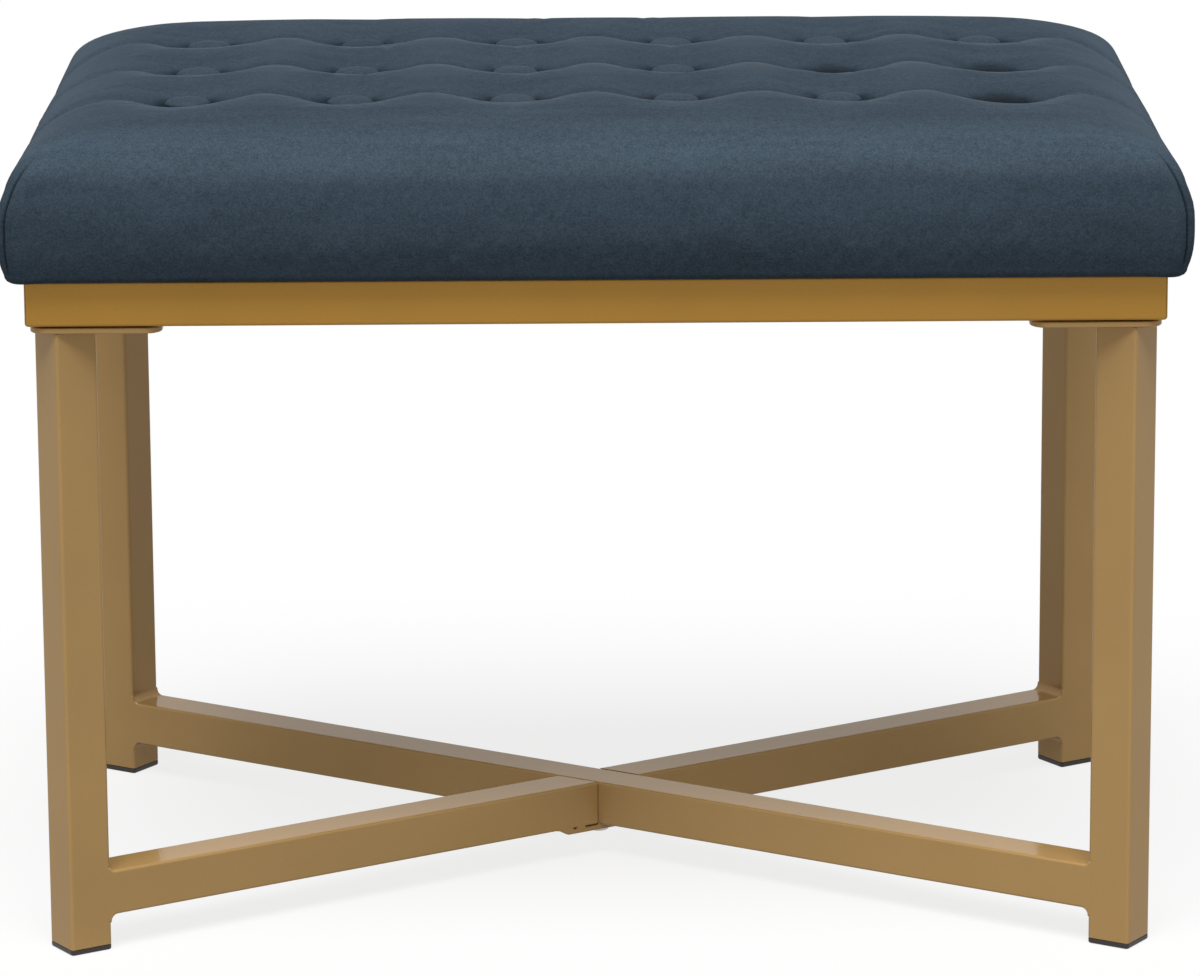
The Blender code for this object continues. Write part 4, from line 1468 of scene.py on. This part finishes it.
    def painted_shade_share(self, points: Array) -> Array:
        """Share of painted shade where the tufting's folds and hollows fall in shade: it darkens the
        pile's colour.

        It does a little in the pleats and round the buttons, more in the ears on both sides of each
        button, exp(-((r - b) / reach)^2) where |dx| / r is large, and most in the hollows of the deep
        tufts, exp(-s^6), s being the distance over the hollow's reach in that direction.

        Args:
            points: the points.

        Returns:
            The share, 0 to 1.
        """
        x, y = points[:, 0], points[:, 1]
        unshaded_share = 1 - self.pleat_shade * self.across(y, self.pleat_reach) * self.lasting(x, y)
        reach_x, reach_y = self.hollow_reach
        for place, column, row in self.buttons():
            away = np.maximum(np.hypot(x - column, y - row), FIT)
            outside = away - self.button / 2
            ear = bell(outside / self.ear_reach) * ramp(np.abs(x - column) / away, *self.ear_side_step)
            rim = self.rim_shade * bell(outside / self.rim_reach)
            unshaded_share *= (1 - self.ear_shade * ear) * (1 - rim)
            if place in self.deep_tufts:
                s = np.hypot((x - column) / reach_x, (y - row) / reach_y)
                unshaded_share *= 1 - self.hollow_shade * np.exp(-(s ** 6))
        return 1 - unshaded_share

    def brushed(self, points: Array) -> Array:
        """Share, 0 to 1, of pile that is brushed over: on the top, as far back as the last row."""
        x, y = points[:, 0], points[:, 1]
        past, fade = self.brushed_back
        before = smooth_step((self.row_places()[-1] + past - y) / fade)
        return before * ramp(self.fullness(x, y), *self.brushed_step)

    def seams(self, points: Array, width: float) -> Array:
        """Share, 0 to 1, of the sewn corner seams.

        A seam runs up the middle of each corner, exp(-(d / width)^2) of the distance d from the
        corner's diagonal. It fades out above the hem and where the shoulder turns over.

        Args:
            points: the points.
            width: the seam's width.

        Returns:
            The share.
        """
        side_x, side_y = self.from_sides(points)
        below_top = (self.apron_top + self.wall + self.seam_end - points[:, 2]) / self.seam_fade
        near = (np.maximum(side_x, side_y) < self.shoulder) * smooth_step(below_top)
        near = near * ramp(points[:, 2] - self.hem_height, *self.seam_step)
        return bell(np.abs(side_x - side_y) / math.sqrt(2) / width) * near

    def from_sides(self, points: Array) -> tuple[Array, Array]:
        """How far points are from the nearer end and from the nearer long side."""
        return self.half_x - np.abs(points[:, 0]), self.half_y - np.abs(points[:, 1])

    def leaned(self, points: Array) -> Array:
        """How far points lean in at the ends: a smooth step up the wall, fading out over the top."""
        up = ramp(points[:, 2] - self.apron_top, *self.lean_up_step)
        out = ramp(np.abs(points[:, 0]) - self.half_x, *self.lean_out_step)
        return np.sign(points[:, 0]) * self.end_lean * up * out

    def drooped(self, points: Array) -> Array:
        """How far the hem hangs lower at the corners: exp(-(d / reach)^2) of the distance d."""
        sides = self.from_sides(points)
        start, length = self.droop_edge
        outside = smooth_step((start - np.minimum(*sides)) / length)
        low = bell((points[:, 2] - self.hem_height) / self.droop_height)
        return self.corner_droop * bell(np.hypot(*sides) / self.droop_reach) * low * outside

    def tufted(self, sheet: Sheet, widened: float) -> tuple[Sheet, Array, Array]:
        """Draw the tufting and the seams into a sheet.

        Args:
            sheet: the sheet before it is tufted.
            widened: how many times wider than they are creases and seams are taken.

        Returns:
            The tufted sheet, and at each point its share of painted shade and how far its pile is
            brushed over.
        """
        points = sheet.points()
        x, y, z = points.T
        on_top = z > self.apron_top + self.wall
        crease = self.creases(x, y, widened) * on_top
        seam = self.seams(points, self.seam_width * widened)
        depth = (self.dimples(x, y) + self.valleys(x, y)) * on_top
        depth += crease * self.crease_depth + seam * self.seam_depth
        depth += self.seams(points, self.seam_dip_width * self.seam_width) * self.seam_dip
        drawn = sheet.raised(-depth)
        points = drawn.points()
        points[:, 2] -= self.drooped(points)
        # painted shade from the tufting, in the creases, and on the top and wall; the sewn seams are
        # darkened too
        painted_shade_share = 1 - (1 - self.painted_shade_share(points) * on_top) * (1 - np.maximum(crease, seam))
        painted_shade_share = 1 - (1 - painted_shade_share) * (1 - self.painted_top_and_wall_shade(points))
        brushed = self.brushed(points) * on_top
        points[:, 0] -= self.leaned(points)
        return drawn.with_points(points), painted_shade_share, brushed


@dataclass
class ClothRelax:
    """Cloth simulation that fills a tufted sheet out, held at its hem, seams and buttons."""

    frames: int = 20
    quality: int = 8
    pressure: float = 4.0
    mass: float = 0.2
    stretch: float = 20.0
    shear: float = 8.0
    bending: float = 0.5
    spare_cloth: float = 0.004
    furthest: float = 0.0030
    hold_levels: int = 10

    def run(self, sheet: Sheet, held: Array) -> Array:
        """Simulate the sheet.

        Args:
            sheet: the sheet.
            held: how firmly each point is held, 0 to 1.

        Returns:
            How far each point moved, at most the furthest.
        """
        start = sheet.points()
        piece = link_object("relaxing", plain_mesh("relaxing", start, sheet.faces().tolist()))
        group = piece.vertex_groups.new(name="held")
        levels = np.round(held * self.hold_levels) / self.hold_levels
        for level in np.unique(levels):
            group.add(np.nonzero(levels == level)[0].tolist(), float(level), "REPLACE")
        cloth = piece.modifiers.new("relax", "CLOTH")
        cloth.point_cache.frame_end = self.frames
        wanted = {
            "quality": self.quality, "mass": self.mass, "tension_stiffness": self.stretch,
            "compression_stiffness": self.stretch, "shear_stiffness": self.shear,
            "bending_stiffness": self.bending, "shrink_min": -self.spare_cloth, "use_pressure": True,
            "uniform_pressure_force": self.pressure, "vertex_group_mass": group.name,
        }
        for name, value in wanted.items():
            setattr(cloth.settings, name, value)
        cloth.settings.effector_weights.gravity = 0
        cloth.collision_settings.use_collision = False
        scene = bpy.context.scene
        for step in range(1, self.frames + 1):
            scene.frame_set(step)
        relaxed = piece.evaluated_get(bpy.context.evaluated_depsgraph_get()).to_mesh()
        places = np.empty(len(start) * 3)
        relaxed.vertices.foreach_get("co", places)
        bpy.data.objects.remove(piece, do_unlink=True)
        scene.frame_set(1)
        moved = places.reshape(-1, 3) - start
        length = np.maximum(np.linalg.norm(moved, axis=1, keepdims=True), 1e-9)
        LOG.info("cloth moved %.4f m at most, %.4f m on average", length.max(), length.mean())
        return moved / length * self.furthest * np.tanh(length / self.furthest)


@dataclass
class TuftedSeat:
    """The upholstered seat: cover, foam, board, lining, buttons and screws.

    A pair of sizes that ends in "step" is where a smooth step starts and how long it is.
    """

    velvet: Finish
    foam: Finish
    plywood: Finish
    lining: Finish
    steel: Finish
    cloth: float = 0.0011
    # how many times wider creases and seams are taken on the sheet with half the lines
    coarse_widening: float = 2.5
    hem_step: Pair = (0.004, 0.012)
    tie_reach: float = 0.003
    seam_hold: float = 4.0
    foam_gap: float = 0.0010
    foam_squeeze: float = 0.0045
    squeeze_step: Pair = (0.006, 0.012)
    button_height: float = 0.0046
    button_edge: float = 0.0010
    button_roll: float = 0.0008
    button_lip: float = 0.0002
    button_dots: Pair = (0.0004, 0.0003)
    button_steps: int = 48
    dome_rings: int = 10
    # how dark the buttons are drawn: the deep tufts' ones as painted shade of their hollows, one more
    # dimmer, the rest a little darker
    button_shade: float = 0.24
    hidden_button: float = 0.93
    dim_button: tuple[int, int] = (3, 2)
    dim_share: float = 0.45
    lining_lines: tuple[int, int] = (120, 80)
    lining_thickness: float = 0.0003
    lining_gap: float = 0.0004
    lining_sag: float = 0.0004
    lining_wave: float = 0.0002
    # each wave's radians per metre, those of the wave across that bends it, and how far it does
    wave_along: Triple = (61.0, 23.0, 3.0)
    wave_across: Triple = (47.0, 17.0, 2.0)
    staple_reach: float = 0.06
    screw: ScrewShape = ScrewShape(
        shank=0.004, flat=0.75, rim=((0.92, 0.0006), (1.0, 0.0014), (1.0, 0.0026)), neck=0.0026,
        tip=0.15, tip_length=0.004, recess=0.0045, recess_depth=0.0014, face_rings=14, steps=40,
    )
    form: CushionForm = field(init=False)

    def __post_init__(self) -> None:
        """Take the cushion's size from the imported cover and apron."""
        low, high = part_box("velvet_cover")
        apron_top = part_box("frame_tube_front")[1].z
        self.form = CushionForm(high.x, high.y, low.z, apron_top)

    def relaxed(self, sheet: Sheet) -> Array:
        """Movement of a coarse sheet under the cloth simulation.

        Args:
            sheet: the tufted coarse sheet.

        Returns:
            How far each of its points moves.
        """
        x, y, z = sheet.points().T
        form = self.form
        hem = 1 - ramp(z - form.hem_height, *self.hem_step)
        tied = 1 - smooth_step(form.from_button(x, y) / self.tie_reach)
        sewn = form.seams(sheet.points(), self.seam_hold * form.seam_width)
        return ClothRelax().run(sheet, np.maximum.reduce([hem, tied, sewn]))

    def cover(self) -> Sheet:
        """Make the velvet cover.

        The plain sheet is tufted, simulated with every second line, and moved as the simulation
        says. An inner skin with half the lines gives the cloth its thickness, and the hem joins them.

        Returns:
            The inner skin.
        """
        plain = self.form.plain()
        coarse = self.form.tufted(plain.coarse(), self.coarse_widening)[0]
        moved = coarse.with_points(self.relaxed(coarse))
        outer, painted_shade_share, brushed = self.form.tufted(plain, 1.0)
        outer = outer.with_points(outer.points() + moved.fine().points())
        inner = coarse.with_points(coarse.points() + moved.points()).raised(-self.cloth)
        count = len(outer.points())
        size = inner.loop.shape[1]
        i = np.arange(size)
        after = (i + 1) % size
        faces = [
            outer.faces(), inner.faces()[:, ::-1] + count,
            np.column_stack([2 * i, count + i, 2 * i + 1]),
            np.column_stack([2 * i + 1, count + i, count + after, 2 * after]),
        ]
        points = np.concatenate([outer.points(), inner.points()])
        mesh = plain_mesh("velvet_cover", points, [face for part in faces for face in part.tolist()])
        # painted shade for the velvet's colour; brushed pile for its sheen
        write_pile(mesh, count, pinch=painted_shade_share, brushed=brushed)
        add_piece("velvet_cover", mesh, self.velvet)
        return inner

    def foam_pad(self, inner: Sheet) -> None:
        """Make the foam pad: it fills the cover's inner skin and is closed above the board.

        The buttons squeeze it a little more than the cover, so that it stays under the cloth there.

        Args:
            inner: the cover's inner skin.
        """
        pad = inner.coarse()
        x, y, z = pad.points().T
        near = 1 - ramp(self.form.from_button(x, y), *self.squeeze_step)
        near *= z > self.form.apron_top
        pad = pad.raised(-self.foam_gap - self.foam_squeeze * near)
        points = pad.points()
        top = pad.loop[0].copy()
        top[:, 2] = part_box("seat_board")[1].z + FIT
        count, size = len(points), len(top)
        ring = np.arange(size)
        after = (ring + 1) % size
        wall = np.column_stack([after, count + after, count + ring, ring])
        faces = pad.faces().tolist() + wall.tolist() + [list(range(count, count + size))]
        mesh = closed_mesh("foam_pad", np.concatenate([points, top]), faces)
        add_piece("foam_pad", mesh, self.foam)

    def buttons(self) -> None:
        """Make the covered buttons: shallow domes of cloth over a steel shell.

        The dome is (r cos a, h sin a) above the button's edge, with a rolled edge below.
        """
        radius = self.form.button / 2
        angle = np.linspace(0, math.pi / 2, self.dome_rings)[:-1]
        dome = self.button_height - self.button_edge
        low, top = self.button_dots
        radii = [low, radius - self.button_roll, radius - self.button_lip]
        radii += [*(radius * np.cos(angle)), top]
        rise = [0.0, 0.0, 2 * self.button_lip]
        rise += [*(self.button_edge + dome * np.sin(angle)), self.button_height]
        for place, column, row in self.form.buttons():
            node = "button_r{}_c{}".format(*place)
            mesh = turned_mesh(node, radii, rise, self.button_steps)
            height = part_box(node)[0].z - self.form.sunk(place)
            place_mesh(mesh, (column, row, height), 0.0)
            # the deep tufts' buttons get painted shade, as their hollows lie in shade
            deep = place in self.form.deep_tufts
            share = self.hidden_button if deep else self.button_shade
            share = self.dim_share if place == self.dim_button else share
            write_pile(mesh, len(mesh.vertices), pinch=share, brushed=float(not deep))
            add_piece(node, mesh, self.velvet)

    def dust_cover(self) -> None:
        """Make the lining under the board: a thin sheet that sags a little between its staples.

        It sags away from its edge along a smooth step, and two crossed waves of sines, each bent by
        the other direction's, ripple it.
        """
        node = "dust_cover"
        low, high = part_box(node)
        lines = self.lining_lines
        spans = [np.linspace(low[axis], high[axis], lines[axis]) for axis in (0, 1)]
        x, y = np.meshgrid(*spans, indexing="ij")
        edge = np.minimum(high.x - np.abs(x), high.y - np.abs(y))
        slack = smooth_step(edge / self.staple_reach)
        wave = 1.0
        for (turns, across, bend), u, v in ((self.wave_along, x, y), (self.wave_across, y, x)):
            wave = wave * np.sin(u * turns + bend * np.sin(v * across))
        z = high.z - self.lining_gap - slack * (self.lining_sag + self.lining_wave * wave)
        points = np.stack([x, y, z], axis=-1).reshape(-1, 3)
        mesh = plain_mesh(node, points, grid_squares(*lines, False, False).tolist())
        piece = add_piece(node, mesh, self.lining)
        thick = piece.modifiers.new("lining", "SOLIDIFY")
        thick.thickness = self.lining_thickness
        thick.offset = 1

    def build(self) -> None:
        """Make the whole seat. Its screws have their heads inside the apron tubes."""
        self.foam_pad(self.cover())
        self.buttons()
        self.dust_cover()
        for side in Side:
            self.screw.build("seat_screw_" + side.name.lower(), self.steel)
        dress_node("seat_board", self.plywood)


@dataclass
class Studio:
    """The pale floor, the soft light and the camera."""

    floor_half: float = 12.0
    floor_height: float = -0.0002
    camera_place: Triple = (-0.0038, -3.3314, 0.9904)
    yaw: float = 0.0017
    pitch: float = math.radians(13.105)
    roll: float = -0.006
    lens: float = 179.5
    sensor: float = 36.0
    key_strength: float = 2.9
    key_spread: float = math.radians(38)
    key_elevation: float = math.radians(66)
    key_left: float = math.radians(5)
    ambient: float = 0.19
    floor_tone: float = 0.18
    floor_return: float = 0.22

    def seen(self, tree: NodeTree) -> NodeSocket:
        """1 for what the camera sees, directly, in a gloss or through glass."""
        path = add_node(tree, "LightPath").outputs
        either = {0: path["Is Camera Ray"], 1: path["Is Glossy Ray"]}
        either = {0: add_node(tree, "Math", either, operation="MAXIMUM").outputs[0]}
        either[1] = path["Is Transmission Ray"]
        return add_node(tree, "Math", either, operation="MAXIMUM").outputs[0]

    def cleared(self, owner: Material | World) -> NodeTree:
        """The empty node tree of a material or world."""
        owner.use_nodes = True
        owner.node_tree.nodes.clear()
        return owner.node_tree

    def floor(self) -> None:
        """Make the floor: it shows white where nothing shades it, and clear from below."""
        square = self.floor_half * np.array([(-1, -1, 0), (1, -1, 0), (1, 1, 0), (-1, 1, 0)])
        mesh = plain_mesh("floor", square + [0, 0, self.floor_height], [(0, 1, 2, 3)])
        link_object("floor", mesh)
        material = bpy.data.materials.new("white_floor")
        tree = self.cleared(material)
        # the glow makes up what the unshaded floor lacks to be white
        level = self.key_strength * math.sin(self.key_elevation) / math.pi + self.ambient
        glow = {"Color": linear(WHITE), "Strength": 1.0 - self.floor_tone * level}
        glow = add_node(tree, "Emission", glow).outputs[0]
        pale = add_node(tree, "BsdfDiffuse", {"Color": [self.floor_tone] * 3 + [1.0]}).outputs[0]
        shown = add_node(tree, "AddShader", {0: glow, 1: pale}).outputs[0]
        back = add_node(tree, "BsdfDiffuse", {"Color": [self.floor_return] * 3 + [1.0]}).outputs[0]
        matt = add_node(tree, "MixShader", {0: self.seen(tree), 1: back, 2: shown}).outputs[0]
        behind = add_node(tree, "NewGeometry").outputs["Backfacing"]
        clear = add_node(tree, "BsdfTransparent").outputs[0]
        surface = add_node(tree, "MixShader", {0: behind, 1: matt, 2: clear})
        add_node(tree, "OutputMaterial", {"Surface": surface.outputs[0]})
        mesh.materials.append(material)

    def world(self) -> None:
        """Light the room evenly, and show it white to the camera and in reflections."""
        world = bpy.data.worlds.new("studio")
        bpy.context.scene.world = world
        tree = self.cleared(world)
        soft, white = (
            add_node(tree, "Background", {"Color": linear(WHITE), "Strength": strength}).outputs[0]
            for strength in (self.ambient, 1.0)
        )
        mixed = add_node(tree, "MixShader", {0: self.seen(tree), 1: soft, 2: white})
        add_node(tree, "OutputWorld", {"Surface": mixed.outputs[0]})

    def lamps(self) -> None:
        """Hang one broad soft lamp in front of the bench and above it, a little to the left."""
        data = bpy.data.lights.new("key", "SUN")
        data.energy = self.key_strength
        data.angle = self.key_spread
        turned = (math.pi / 2 - self.key_elevation, 0, -self.key_left)
        link_object("key", data).rotation_euler = turned

    def camera(self) -> None:
        """Set the camera: yaw to the right, pitch down and roll, from three turned axes."""
        forward = Vector((
            math.sin(self.yaw) * math.cos(self.pitch),
            math.cos(self.yaw) * math.cos(self.pitch),
            -math.sin(self.pitch),
        ))
        level = Vector((math.cos(self.yaw), -math.sin(self.yaw), 0))
        upright = level.cross(forward)
        right = level * math.cos(self.roll) + upright * math.sin(self.roll)
        up = -level * math.sin(self.roll) + upright * math.cos(self.roll)
        axes = Matrix((right, up, -forward)).transposed()
        data = bpy.data.cameras.new("camera")
        data.lens = self.lens
        data.sensor_width = self.sensor
        camera = link_object("camera", data)
        camera.matrix_world = Matrix.Translation(self.camera_place) @ axes.to_4x4()
        bpy.context.scene.camera = camera

    def build(self) -> None:
        """Set up floor, world, lamp and camera."""
        self.camera()
        self.floor()
        self.world()
        self.lamps()
        bpy.context.scene.view_settings.view_transform = "Standard"


def main() -> None:
    """Build the bench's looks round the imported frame."""
    logging.basicConfig(level=logging.INFO, format="%(message)s")
    Studio().build()
    gold = GoldLacquer()
    apron_gold = GoldLacquer(
        name="sprayed_gold_lacquer_apron", metallic=0.5, dark="AB7E33", light="C0903D"
    )
    zinc = ZincPlate()
    leg = middle_of("leg_back_right")
    turn = math.atan2(leg.y, leg.x)
    ApronFrame(apron_gold).build()
    LegSet(gold, MouldedPlastic(), zinc, turn).build()
    StretcherCross(gold, zinc, turn, math.hypot(leg.x, leg.y)).build()
    TuftedSeat(PileVelvet(), OpenCellFoam(), RawPlywood(), SpunbondLining(), zinc).build()


if __name__ == "__main__":
    main()
